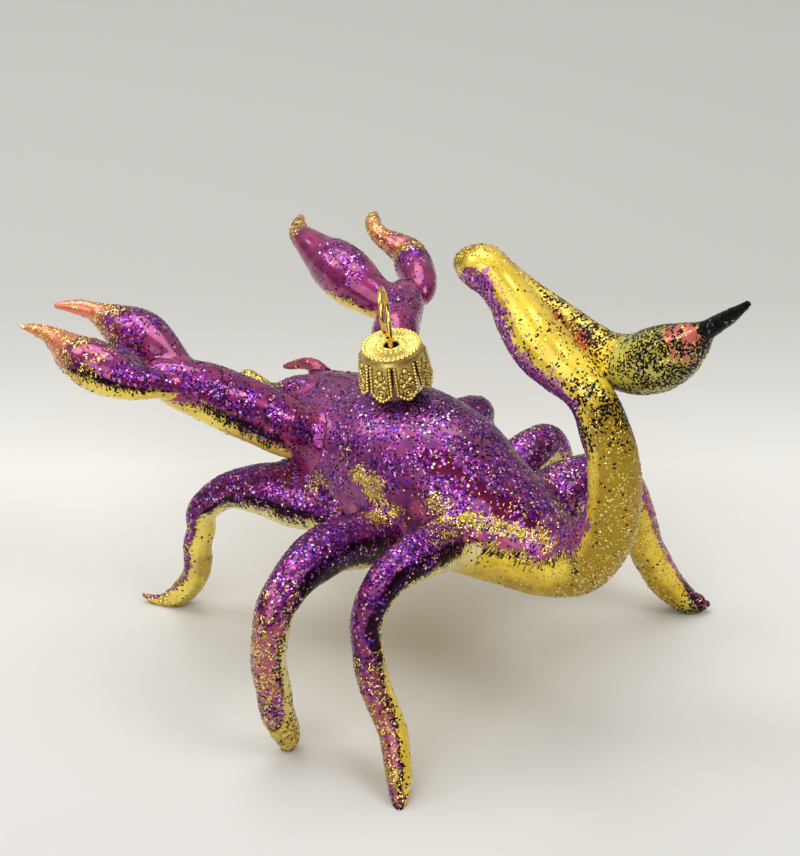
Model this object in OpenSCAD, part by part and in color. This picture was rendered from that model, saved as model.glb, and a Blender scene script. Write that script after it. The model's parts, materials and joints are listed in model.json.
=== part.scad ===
// Hanging glass scorpion: blown hollow body and tail, drawn solid limbs, stamped cap, wire hanger.
// Head toward -X, tail toward +X, the creature's left side toward -Y, feet on the plane z = 0.

/* [Glass] */
// thickness of the blown wall, mm
wall = 1; // [0.6:0.1:1.5]
// girth of the six legs against the sketched radii
leg_girth = 1; // [0.8:0.05:1.1]
// girth of the arms and the claw fingers against the sketched radii
claw_girth = 1; // [0.8:0.05:1.1]
// girth of the curled back half of the tail against the sketched radii
sting_girth = 1; // [0.8:0.05:1.1]
// depth taken off each foot to give it a flat, mm
foot_flat = 0.4; // [0.2:0.1:0.8]

/* [Neck] */
// outer radius of the open glass neck, mm
neck_radius = 4.6; // [4.2:0.1:4.8]
// height of the neck above the back, mm
neck_height = 9; // [7:0.5:10]
// lean of the neck toward the left side, degrees
neck_lean = 8; // [0:1:12]
// lean of the neck toward the head, degrees
neck_rake = 2; // [0:1:6]

/* [Cap] */
// radius of the cap's flat top, mm
cap_radius = 5.6; // [5.4:0.1:6]
// radius at the lower ends of the petals, mm
petal_spread = 6.5; // [6.3:0.1:7]
// thickness of the stamped sheet, mm
sheet = 0.35; // [0.25:0.05:0.5]
// number of petals round the skirt
petals = 8; // [6:1:10]
// width of the slit between two petals, mm
petal_slit = 0.8; // [0.4:0.1:1.2]
// height of the point at the end of each petal, mm
petal_point = 1.5; // [0.5:0.1:1.5]
// radius of the hole for the wire, mm
wire_hole = 1.6; // [1.4:0.1:2]

/* [Hanger] */
// radius of the wire, mm
wire = 0.45; // [0.35:0.05:0.5]
// height of the loop above the cap, mm
loop_height = 11; // [9:0.5:13]
// half width of the loop, mm
loop_half = 4.6; // [4:0.2:5]
// turn of the loop about the neck, degrees
loop_turn = -49; // [-180:1:180]

/* [Hidden] */
// move that puts the middle of the outline over the origin
shift = [6.5, 2.5, 0];
// air between the neck and the cap
cap_gap = 0.12;
// height of the lowest petal point above the foot of the neck
petal_clear = 1.4;
// height of the plain collar under the cap's top, and of the step from collar to petals
collar_height = 1;
shoulder_drop = 0.5;
// outward slope of the petals over their length, and radius of the cap's rounded edge
petal_flare = 0.35;
rim_bead = 0.35;
// width of a notch against the gap between two petal points, so that neighbours meet
notch_spread = 1.1;
// turn of the first petal about the neck, degrees
petal_turn = -3;
// sideways lean of the loop for each unit of its height
loop_tilt = 0.055;
// foot of the neck on the back
neck_foot = [-11.8, 0, 50.2];
// depth of the neck below the back, and its wall against the body's
neck_depth = 2;
neck_thinning = 0.8;
// overshoot of a cutting shape past the face it cuts
spare = 1;
// number of points round each kind of ring
body_round = 32;
tail_round = 16;
limb_round = 12;
wire_round = 8;
// fine steps for turned pieces
$fn = 64;

// body and tail: middle of each section, then its half width and half height
trunk = [
  [-38.5, 0, 37.5, 1, 1], [-37.5, 0, 37.5, 4.5, 3.5], [-34, 0, 37, 9, 7.2], [-28, 0, 36.5, 12, 10],
  [-20, 0, 35.8, 13.4, 12], [-11, 0, 36, 14.2, 14.2], [0, 0, 35.2, 13.3, 14.6],
  [9, 0, 33.5, 11.2, 12.5], [17, 0, 32.1, 9.4, 10.2], [24, 0, 31.4, 7.8, 8], [30, 0, 32.5, 6.6, 6.3],
  [34, 0, 36.5, 5.6, 5.6], [37, 0, 42, 4.9, 4.9], [37.9, 0, 47, 4.6, 4.6], [37.8, 0, 52, 4.5, 4.5],
  [37, 0, 56.4, 4.3, 4.3], [35.2, 0, 60.3, 4.2, 4.2], [33, 0, 64.2, 3.9, 3.9],
  [29.8, 0, 66.8, 3.9, 3.9], [26, 0, 68.4, 4.5, 4.5], [22.5, 0, 70.2, 5, 5], [19.5, 0, 72, 4.9, 4.9],
  [16.5, 0, 74.9, 4.5, 4.5], [14, 0, 77.4, 3.8, 3.8], [10.8, 0, 79.9, 3.8, 3.8],
  [8, 0, 80.9, 4.1, 4.1], [6.6, 0, 80.8, 3.8, 3.8], [5.1, 0, 80.8, 3, 3], [4.2, 0, 80.7, 1.2, 1.2]];
// rings between two trunk points, and the trunk point where the body ends
trunk_steps = 2;
body_end = 10;
// rings of solid glass at the nose and at the far end of the tail
nose_rings = 3;
tail_end_rings = 5;
// rings at the far end of the tail that the thinner strand is joined to
tail_top_rings = 20;

// solid limbs: middle of each section, then its radius
leg_front_left_route = [
  [-14.5, -9.5, 28, 5.6], [-19.5, -12, 28.5, 5.6], [-23.5, -14.5, 28.7, 5.6],
  [-27.5, -16.5, 29.4, 5.3], [-31, -18.5, 29.3, 4.5], [-35, -20.5, 28.2, 3.5], [-38.3, -22.3, 25.5, 3],
  [-40.1, -23.7, 22.5, 2.8], [-40.3, -23.7, 19, 2.7], [-40.7, -24.5, 15.5, 2.7],
  [-40.8, -24.5, 12, 2.7], [-41.8, -24.5, 8, 2.5], [-44, -25.3, 4.2, 2.4], [-46.2, -26.5, 1.7, 2],
  [-48.5, -28.5, 1, 1.1], [-51, -30, 1.8, 0.4]];
leg_middle_left_route = [
  [-3.5, -9, 26, 4.8], [-3, -14, 29, 4.8], [-2, -20.5, 31.7, 5], [-1, -27, 34.2, 4.6],
  [0, -33, 35, 4.4], [1.2, -38.5, 34.7, 3.8], [1.8, -42, 33.2, 3.5], [2.3, -44.8, 31.2, 3.3],
  [2.9, -46.4, 27.4, 3.1], [2.8, -47, 22, 3], [2.8, -46, 15.5, 3], [2.4, -45, 10, 2.9],
  [2.3, -43, 4.5, 2.4], [1.5, -42, 0.5, 1.2], [1.5, -41.5, -0.5, 0.5]];
leg_rear_left_route = [
  [11, -8, 31, 4.5], [11.5, -12, 33, 4.5], [12.5, -19, 35, 4.4], [13, -24, 35.5, 3.9],
  [13, -28, 35, 3.4], [13, -31, 33, 3.1], [12.5, -32.5, 30, 2.9], [12.6, -33.5, 27, 2.7],
  [13.1, -33.5, 23, 2.7], [14.1, -34, 19.5, 2.7], [16.1, -34.5, 16, 2.7], [17.9, -34.5, 13, 2.6],
  [20.3, -35, 10, 2.5], [22.7, -36.5, 7, 2.4], [24.6, -38, 4, 2.2], [26.1, -39.5, 1.5, 1.5],
  [27.1, -40.5, -0.2, 0.6]];
leg_front_right_route = [
  [-15, 8, 29, 4.4], [-15, 12, 32, 4.4], [-14.5, 18.5, 34.2, 4.2], [-14.2, 23.6, 34.2, 3.8],
  [-16.5, 27, 31.5, 3.2], [-18, 30, 26, 2.9], [-20, 31.5, 20, 2.8], [-22, 32.5, 14, 2.7],
  [-24.5, 33.5, 8, 2.5], [-27, 34.5, 4, 2.2], [-29, 35.5, 1.5, 1.8], [-31, 36.5, 1, 1.1],
  [-33, 37.5, 2, 0.4]];
leg_middle_right_route = [
  [-3.5, 8, 24, 4.8], [-2, 13, 27.5, 4.8], [-0.5, 19, 29.9, 4.6], [0, 24, 31.6, 4.2],
  [0, 28.5, 31.5, 3.7], [0.5, 31, 28, 3.1], [1, 32.5, 22, 2.8], [1, 33.5, 16, 2.8],
  [0.5, 34.5, 10, 2.6], [0.5, 35.5, 4.5, 2.1], [0.5, 36, 0.5, 1], [0.5, 36.5, -0.5, 0.5]];
leg_rear_right_route = [
  [11.5, 6, 28, 5.6], [12.5, 11, 30, 5.8], [14, 17, 32.1, 5.5], [15, 22.5, 33, 4.4],
  [16.5, 27, 32, 3.6], [18, 30.5, 28.5, 3.3], [19.4, 32.5, 22, 3.3], [20.3, 34, 15.5, 3.4],
  [21.8, 35.5, 11, 3.4], [23.5, 37, 7, 3.2], [25.4, 38.5, 4.4, 2.8], [27.2, 40, 2.4, 2.4],
  [29, 41.5, 2, 1.7], [30, 42.3, 2, 0.6]];
arm_left_route = [
  [-21, -8, 37.5, 5], [-24.5, -11.5, 40.8, 5], [-26.5, -14, 42.3, 5.4], [-30, -17, 44.8, 5.6],
  [-33, -20.5, 47.3, 5.6], [-36.5, -24, 49.9, 5.3], [-39.5, -27.5, 51.8, 4.6], [-42, -30, 53.2, 3.4],
  [-43, -31, 53.7, 2], [-43.4, -31.4, 53.9, 0.6]];
arm_right_route = [
  [-20, 7, 37, 5], [-24, 11, 41.5, 5.1], [-27, 15, 45.5, 4.9], [-30, 18.5, 48, 4.6],
  [-32.5, 22, 48.8, 4.3], [-35, 25.5, 49.2, 4.3], [-37, 28, 49.5, 4], [-38.5, 29.8, 49.8, 2.8],
  [-39.2, 30.6, 50, 1]];
finger_outer_left_route = [
  [-38, -28.5, 52.3, 1.8], [-39.8, -33, 53.7, 2.5], [-42.5, -36.5, 54.6, 3.3], [-46, -38, 55.6, 4.3],
  [-50, -39, 56.6, 4.5], [-53.5, -39.5, 57.1, 3.8], [-57, -39.5, 58, 2.7], [-60, -40, 59, 1.6],
  [-62.5, -41, 59.5, 1.1], [-64.5, -42.5, 60, 0.4]];
finger_inner_left_route = [
  [-40, -26.6, 52.7, 3], [-42.5, -26, 53.5, 3.4], [-47.5, -25.7, 55, 4.4], [-52, -25.5, 56, 4.9],
  [-55.5, -26.2, 56.7, 4.4], [-59, -27, 57.6, 3.1], [-62, -28.2, 58.7, 1.8], [-64.5, -30, 59.4, 1.4],
  [-66.5, -33, 60.1, 0.6]];
finger_inner_right_route = [
  [-34.5, 24, 49.5, 2.8], [-38, 24, 49.7, 3.7], [-41.5, 23.5, 50.6, 4.3], [-45, 23.5, 51.5, 5.2],
  [-49, 24, 52.5, 5.5], [-53.5, 24.5, 53.5, 5], [-56.2, 24.5, 54.3, 4], [-59.6, 24.7, 55.4, 3],
  [-63, 25.5, 56, 2.1], [-65.3, 27.3, 56.2, 1.6], [-67.5, 30, 56.5, 0.9]];
finger_outer_right_route = [
  [-35, 31.6, 48.9, 0.8], [-35.4, 32, 49.2, 1.9], [-36.4, 32.8, 49.5, 2.7], [-38, 34.2, 50, 3.2],
  [-39.8, 35.6, 50.5, 3.5], [-43.2, 37.8, 51, 3.8], [-46.7, 39.8, 52, 3.4], [-50.3, 39.7, 53, 2.6],
  [-53.8, 39.7, 53.5, 2], [-56.3, 40.2, 54.4, 1.7], [-58.6, 41.9, 54.7, 1.6], [-60.1, 43.7, 55, 1]];
fang_left_route = [
  [-28, -3, 40, 3.6], [-31, -3, 42, 3.5], [-34.5, -3.5, 42.4, 2.9], [-38.5, -4, 40.6, 2.2],
  [-42, -4, 40, 1.7], [-45, -4, 40.8, 1.4], [-47.5, -4, 41.2, 1.1], [-49.5, -4, 40.5, 0.5]];
fang_right_route = [
  [-35.2, 5, 38, 1.9], [-36.2, 5, 40.6, 1.5], [-36.5, 5, 42, 1.4], [-37.6, 5, 43.1, 1.3],
  [-39.7, 5, 43.1, 1.2], [-42.7, 5, 42, 1], [-45.3, 5, 40.6, 0.7], [-46.7, 5, 40, 0.4]];
// curled back half of the tail, from the top of the stem to the sting
curl_route = [
  [7.5, 1.5, 80.4, 2.7], [6.5, 4.5, 79.1, 2.7], [8.5, 6.2, 76.6, 2.7], [12, 6.9, 74.8, 2.8],
  [16.5, 7.6, 73.1, 2.8], [21, 8, 71.6, 2.9], [25, 8, 70.2, 3.3], [28.5, 8, 69, 4],
  [32.5, 8, 68.9, 4.8], [36.2, 8, 70.1, 5.2], [39.2, 8, 72, 5.4], [42.4, 8, 74.5, 4.8],
  [45.4, 8, 77.4, 3.4], [48, 8, 80.3, 1.7], [50.1, 8, 82.3, 1.4], [52.7, 8, 84.8, 1.1],
  [55.3, 8, 87.6, 0.5]];
// rings between two limb points, and between two wire points
limb_steps = 2;
wire_steps = 3;
// block that trims the feet
floor_size = 200;
floor_depth = 20;
// curl points where the strand becomes the bulb and the bulb becomes the sting
bulb_start = 8;
sting_start = 13;

// wire: sideways offset and height above the cap for one half of the hanger, from the free end up
wire_half = [
  [2.7, -14], [2.6, -11], [2.1, -7], [1.3, -3], [0.8, -0.8], [0.75, 0.4], [1, 1.4], [2.2, 3.2]];

// points of a smooth curve through the given points
function knot(points, i, u) =
  let (last = len(points) - 1, a = points[max(i - 1, 0)], b = points[i])
  let (c = points[min(i + 1, last)], d = points[min(i + 2, last)])
  b + 0.5 * u * (c - a + u * (2 * a - 5 * b + 4 * c - d + u * (3 * (b - c) + d - a)));
function smooth(points, steps) = [
  for (i = [0 : len(points) - 2]) for (j = [0 : steps - 1]) knot(points, i, j / steps),
  points[len(points) - 1]];

// place, half width and half height of a section
function middle(p) = [p[0], p[1], p[2]];
function wide(p) = p[3];
function tall(p) = len(p) > 4 ? p[4] : p[3];
function unit(v) = v / norm(v);
function heading(path, i) =
  unit(middle(path[min(i + 1, len(path) - 1)]) - middle(path[max(i - 1, 0)]));
function across(side, along) = unit(side - (side * along) * along);

// side direction of every section, carried along the path without twist
function carried(path, first) = [
  for (i = 0, s = across(first, heading(path, 0)); i < len(path);
       i = i + 1, s = across(s, heading(path, min(i, len(path) - 1)))) s];

// one ring of points, drawn in by the given amount
function ring(p, along, side, count, inset) =
  let (up = cross(along, side))
  [for (k = [0 : count - 1])
    middle(p) + (wide(p) - inset) * cos(360 * k / count) * side
              + (tall(p) - inset) * sin(360 * k / count) * up];
function rings(path, first, count, inset = 0) =
  let (sides = carried(path, first))
  [for (i = [0 : len(path) - 1]) ring(path[i], heading(path, i), sides[i], count, inset)];
function part_of(list, from, to) = [for (i = [from : to]) list[i]];
function backward(list) = [for (i = [len(list) - 1 : -1 : 0]) list[i]];
function mean(list) = [for (p = list) 1] * list / len(list);
function with_girth(route, girth) = [for (p = route) [p[0], p[1], p[2], p[3] * girth]];

// closed solid with its wall through a chain of rings
module skin(chain) {
  count = len(chain[0]);
  last = len(chain) - 1;
  first_middle = (last + 1) * count;
  points = concat([for (loop = chain) each loop], [mean(chain[0]), mean(chain[last])]);
  walls = [
    for (i = [0 : last - 1]) for (k = [0 : count - 1])
      let (a = i * count + k, b = i * count + (k + 1) % count)
      each [[a, a + count, b + count], [a, b + count, b]]];
  ends = [
    for (k = [0 : count - 1])
      let (next = (k + 1) % count)
      each [[first_middle, k, next], [first_middle + 1, last * count + next, last * count + k]]];
  polyhedron(points, concat(walls, ends), convexity = 6);
}

// solid limb along a route
module limb(route, girth, first) {
  skin(rings(smooth(with_girth(route, girth), limb_steps), first, limb_round));
}

// rings of the whole trunk, outside and inside the wall
trunk_path = smooth(trunk, trunk_steps);
body_last = body_end * trunk_steps;
tail_last = len(trunk_path) - 1;
trunk_side = [0, -1, 0];
tail_hollow = tail_last - tail_end_rings;
body_outside = part_of(rings(trunk_path, trunk_side, body_round), 0, body_last);
body_inside = part_of(rings(trunk_path, trunk_side, body_round, wall), nose_rings, body_last);
tail_outside = part_of(rings(trunk_path, trunk_side, tail_round), body_last, tail_last);
tail_inside = part_of(rings(trunk_path, trunk_side, tail_round, wall), body_last, tail_hollow);
tail_top = part_of(rings(trunk_path, trunk_side, tail_round), tail_last - tail_top_rings, tail_last);

// rings of the curled back half of the tail
curl_path = smooth(with_girth(curl_route, sting_girth), limb_steps);
curl_rings = rings(curl_path, [0, 0, 1], limb_round);

// stretch of the body's outside between two of its rings, used to trim a limb at its root
module body_solid(from, to) { skin(part_of(body_outside, from, to)); }

// block below the feet that gives each of them its flat
module floor_cut() {
  translate([-floor_size / 2, -floor_size / 2, foot_flat - floor_depth])
    cube([floor_size, floor_size, floor_depth]);
}

// move into the frame of the leaning neck, z along the neck and zero at the back
module at_neck() { translate(neck_foot) rotate([neck_lean, -neck_rake, 0]) children(); }

// final place of a node, with the feet brought down to the floor
module placed() { translate(shift - [0, 0, foot_flat]) children(); }

module body_shell() {
  color("purple") placed() difference() {
    skin(concat(body_outside, backward(body_inside)));
    at_neck() translate([0, 0, -neck_depth - 3 * spare]) cylinder(r = neck_radius, h = neck_height);
  }
}

module neck() {
  bore = neck_radius - wall * neck_thinning;
  lip = (neck_radius - bore) / 2;
  color("silver") placed() at_neck() {
    difference() {
      translate([0, 0, -neck_depth]) cylinder(r = neck_radius, h = neck_height + neck_depth - lip);
      translate([0, 0, -neck_depth - spare]) cylinder(r = bore, h = neck_height + neck_depth + 2 * spare);
    }
    translate([0, 0, neck_height - lip]) rotate_extrude() translate([bore + lip, 0]) circle(lip);
  }
}

// leg along its route, trimmed by the body's rings on either side of its root
module leg(route, from, to) {
  color("darkmagenta") placed() difference() {
    limb(route, leg_girth, [1, 0, 0]);
    body_solid(from, to);
    floor_cut();
  }
}
module leg_front_left() { leg(leg_front_left_route, 4, 13); }
module leg_middle_left() { leg(leg_middle_left_route, 8, 15); }
module leg_rear_left() { leg(leg_rear_left_route, 11, 19); }
module leg_front_right() { leg(leg_front_right_route, 7, 12); }
module leg_middle_right() { leg(leg_middle_right_route, 8, 15); }
module leg_rear_right() { leg(leg_rear_right_route, 11, 20); }

// arm along its route, trimmed by the front half of the body
module arm_solid(route) { limb(route, claw_girth, [0, 0, 1]); }
module arm(route) {
  color("mediumvioletred") placed() difference() {
    arm_solid(route);
    body_solid(2, 10);
  }
}
module arm_left() { arm(arm_left_route); }
module arm_right() { arm(arm_right_route); }

// claw finger, trimmed by the end of the arm it grows from
module finger(route, arm_route) {
  color("orchid") placed() difference() {
    limb(route, claw_girth, [0, 0, 1]);
    arm_solid(arm_route);
  }
}
module finger_outer_left() { finger(finger_outer_left_route, arm_left_route); }
module finger_inner_left() { finger(finger_inner_left_route, arm_left_route); }
module finger_outer_right() { finger(finger_outer_right_route, arm_right_route); }
module finger_inner_right() { finger(finger_inner_right_route, arm_right_route); }

// mouth part on the front of the body
module fang(route) {
  color("goldenrod") placed() difference() {
    limb(route, claw_girth, [0, 1, 0]);
    body_solid(0, 9);
  }
}
module fang_left() { fang(fang_left_route); }
module fang_right() { fang(fang_right_route); }

module tail_stem() { color("gold") placed() skin(concat(backward(tail_inside), tail_outside)); }

module tail_return() {
  color("khaki") placed() difference() {
    skin(part_of(curl_rings, 0, bulb_start * limb_steps));
    skin(tail_top);
  }
}
module sting_bulb() {
  color("olive") placed() skin(part_of(curl_rings, bulb_start * limb_steps, sting_start * limb_steps));
}
module sting_tip() {
  color("dimgray") placed() skin(part_of(curl_rings, sting_start * limb_steps, len(curl_path) - 1));
}

// stamped cap: flat top with a rounded edge, a short collar and a skirt of pointed petals
module cap() {
  top = neck_height + cap_gap;
  foot = petal_clear;
  collar_low = top - collar_height;
  shoulder = petal_spread - petal_flare;
  outline = [
    [wire_hole, top], [cap_radius - sheet, top], [cap_radius - sheet, collar_low - sheet],
    [shoulder - sheet, collar_low - shoulder_drop - sheet], [petal_spread - sheet, foot],
    [petal_spread, foot], [shoulder, collar_low - shoulder_drop], [cap_radius, collar_low],
    [cap_radius, top - rim_bead], [cap_radius + rim_bead, top], [cap_radius + rim_bead, top + sheet],
    [cap_radius, top + sheet + rim_bead], [cap_radius - rim_bead, top + sheet], [wire_hole, top + sheet]];
  half_petal = notch_spread * petal_spread * tan(180 / petals);
  slit_top = collar_low - shoulder_drop - 2 * sheet - foot;
  notch = [
    [-half_petal, -spare], [half_petal, -spare], [half_petal, 0], [petal_slit / 2, petal_point],
    [petal_slit / 2, slit_top], [-petal_slit / 2, slit_top], [-petal_slit / 2, petal_point],
    [-half_petal, 0]];
  color("goldenrod") placed() at_neck() difference() {
    rotate_extrude() polygon(outline);
    for (i = [0 : petals - 1]) rotate(petal_turn + i * 360 / petals)
      translate([neck_radius, 0, foot]) rotate([90, 0, 90]) linear_extrude(petal_spread) polygon(notch);
  }
}

// wire loop above the cap with two sprung ends inside the neck
module hanger_wire() {
  base = neck_height + cap_gap + sheet;
  arch = [
    [loop_half * 0.85, loop_height * 0.44], [loop_half, loop_height * 0.6],
    [loop_half * 0.87, loop_height * 0.8], [loop_half * 0.5, loop_height * 0.95]];
  side = concat(wire_half, arch);
  whole = concat(side, [[0, loop_height]], [for (p = backward(side)) [-p[0], p[1]]]);
  route = [for (p = whole) [p[0], -max(p[1], 0) * loop_tilt, base + p[1], wire]];
  color("gold") placed() at_neck() rotate(loop_turn)
    skin(rings(smooth(route, wire_steps), [0, 1, 0], wire_round));
}

body_shell();
neck();
leg_front_left();
leg_middle_left();
leg_rear_left();
leg_front_right();
leg_middle_right();
leg_rear_right();
arm_left();
arm_right();
finger_outer_left();
finger_inner_left();
finger_outer_right();
finger_inner_right();
fang_left();
fang_right();
tail_stem();
tail_return();
sting_bulb();
sting_tip();
cap();
hanger_wire();
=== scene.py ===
import json
import math
import bmesh
import bpy
import numpy as np
from mathutils import Matrix, Vector


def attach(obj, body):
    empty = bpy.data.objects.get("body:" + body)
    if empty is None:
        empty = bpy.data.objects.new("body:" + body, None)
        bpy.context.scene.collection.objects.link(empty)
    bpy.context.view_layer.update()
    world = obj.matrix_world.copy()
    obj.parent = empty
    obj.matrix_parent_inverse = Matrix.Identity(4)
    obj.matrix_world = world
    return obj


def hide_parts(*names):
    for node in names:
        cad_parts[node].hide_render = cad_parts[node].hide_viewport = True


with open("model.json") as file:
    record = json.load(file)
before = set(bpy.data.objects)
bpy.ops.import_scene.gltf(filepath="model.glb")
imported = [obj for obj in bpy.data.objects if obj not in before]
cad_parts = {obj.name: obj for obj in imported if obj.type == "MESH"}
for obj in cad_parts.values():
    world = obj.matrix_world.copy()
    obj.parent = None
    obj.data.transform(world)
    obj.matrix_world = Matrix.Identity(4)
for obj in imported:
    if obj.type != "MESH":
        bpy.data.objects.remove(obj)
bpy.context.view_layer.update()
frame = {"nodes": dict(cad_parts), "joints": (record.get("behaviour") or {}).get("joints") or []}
print("frame loaded:", len(frame["nodes"]), "nodes")

mm = 0.001
tiny = 1e-9
farAway = 1e3    # mm
sketchMove = np.array([6.5, 2.5, -0.4])    # from the sketched routes to the shared frame, mm


# routes and rings

def lengthAlong(points):
    # how far along a row of points each one lies
    return np.concatenate([[0], np.cumsum(np.linalg.norm(np.diff(points, axis=0), axis=1))])


def circle(around):
    return np.arange(around) * 2 * math.pi / around


def unit(v):
    return v / np.maximum(np.linalg.norm(v, axis=-1, keepdims=True), tiny)


def smoothRoute(points, spacing, steps=24, fewest=8):
    # an even run of sections through the sketched ones: place and half sizes, mm
    pts = np.array(points, float)
    ends = np.vstack([pts[:1], pts, pts[-1:]])
    u = np.linspace(0, 1, steps, endpoint=False)[:, None]
    fine = []
    for i in range(len(pts) - 1):
        a, b, c, d = ends[i:i + 4]
        fine.append(b + 0.5 * u * (c - a + u * (2 * a - 5 * b + 4 * c - d + u * (3 * (b - c) + d - a))))
    fine = np.vstack(fine + [pts[-1:]])
    run = lengthAlong(fine)
    at = np.linspace(0, run[-1], max(int(run[-1] / spacing), fewest) + 1)
    return np.column_stack([np.interp(at, run, column) for column in fine.T])


def carriedFrames(path, first):
    # heading, back and side of each section, with the back carried along without twist
    heading = unit(np.gradient(path[:, :3], axis=0))
    back = np.zeros_like(heading)
    now = np.array(first, float)
    for i, h in enumerate(heading):
        now = unit(now - (now @ h) * h)
        back[i] = now
    return heading, back, np.cross(heading, back)


def roundedTip(path, steps=5):
    # a small dome on the last section, so that the drawn glass ends round
    tip, heading = path[-1], unit(path[-1, :3] - path[-2, :3])
    rows = []
    for i in range(1, steps):
        a = 0.5 * math.pi * i / steps
        row = tip.copy()
        row[:3] += heading * tip[3] * math.sin(a)
        row[3:] *= math.cos(a)
        rows.append(row)
    return np.vstack([path] + rows)


def sweep(path, first, around):
    # rings of points round the path, with the length along it and the angle from its back
    heading, back, side = carriedFrames(path, first)
    angle = circle(around)
    wide, tall = path[:, 3], path[:, -1]
    rings = (path[:, None, :3] + (wide[:, None] * np.sin(angle))[..., None] * side[:, None]
             + (tall[:, None] * np.cos(angle))[..., None] * back[:, None])
    return {"rings": rings, "run": lengthAlong(path[:, :3]), "angle": angle}


def ringFaces(ringCount, around, closed=False):
    # quads between neighbouring rings, and from the last to the first if closed
    i, k = np.meshgrid(np.arange(ringCount if closed else ringCount - 1), np.arange(around), indexing="ij")
    here, after, ahead = i * around, (i + 1) % ringCount * around, (k + 1) % around
    return np.stack([here + k, here + ahead, after + ahead, after + k], axis=-1).reshape(-1, 4)


def endFans(ringCount, around):
    # triangles from the end rings to their two middle points, which come after all the rings
    k = np.arange(around)
    ahead, lastRing = (k + 1) % around, (ringCount - 1) * around
    middle = np.full(around, ringCount * around)
    return np.vstack([np.column_stack([middle, ahead, k]),
                      np.column_stack([middle + 1, lastRing + k, lastRing + ahead])])


def bring(name, data):
    thing = bpy.data.objects.new(name, data)
    bpy.context.scene.collection.objects.link(thing)
    return thing


def addMesh(name, points, quads, tris=(), smooth=True):
    # a plain mesh object from arrays in mm
    mesh = bpy.data.meshes.new(name)
    faces = [tuple(face) for face in np.asarray(quads).tolist() + np.asarray(tris).tolist()]
    mesh.from_pydata((np.asarray(points) * mm).tolist(), [], faces)
    mesh.polygons.foreach_set("use_smooth", np.full(len(mesh.polygons), smooth))
    mesh.update()
    return bring(name, mesh)


def setValues(mesh, name, values):
    field = mesh.attributes.new(name, "FLOAT", "POINT")
    field.data.foreach_set("value", np.asarray(values, np.float32))


# the glass: sections from root to tip as (x, y, z, radius), mm, or half width and half height for the trunk

trunk = {
    "route": [
        (-38.5, 0, 37.5, 1, 1), (-37.5, 0, 37.5, 4.5, 3.5), (-34, 0, 37, 9, 7.2), (-28, 0, 36.5, 12, 10),
        (-20, 0, 35.8, 13.4, 12), (-11, 0, 36, 14.2, 14.2), (0, 0, 35.2, 13.3, 14.6),
        (9, 0, 33.5, 11.2, 12.5), (17, 0, 32.1, 9.4, 10.2), (24, 0, 31.4, 7.8, 8), (30, 0, 32.5, 6.6, 6.3),
        (34, 0, 36.5, 5.6, 5.6), (37, 0, 42, 4.9, 4.9), (37.9, 0, 47, 4.6, 4.6), (37.8, 0, 52, 4.5, 4.5),
        (37, 0, 56.4, 4.3, 4.3), (35.2, 0, 60.3, 4.2, 4.2), (33, 0, 64.2, 3.9, 3.9),
        (29.8, 0, 66.8, 3.9, 3.9), (26, 0, 68.4, 4.5, 4.5), (22.5, 0, 70.2, 5, 5), (19.5, 0, 72, 4.9, 4.9),
        (16.5, 0, 74.9, 4.5, 4.5), (14, 0, 77.4, 3.8, 3.8), (10.8, 0, 79.9, 3.8, 3.8),
        (8, 0, 80.9, 4.1, 4.1), (6.6, 0, 80.8, 3.8, 3.8), (5.1, 0, 80.8, 3, 3), (4.2, 0, 80.7, 1.2, 1.2)],
    "bodyEnd": (30, 0, 32.5), "around": 96, "spacing": 0.7, "join": 3.0}

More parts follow.
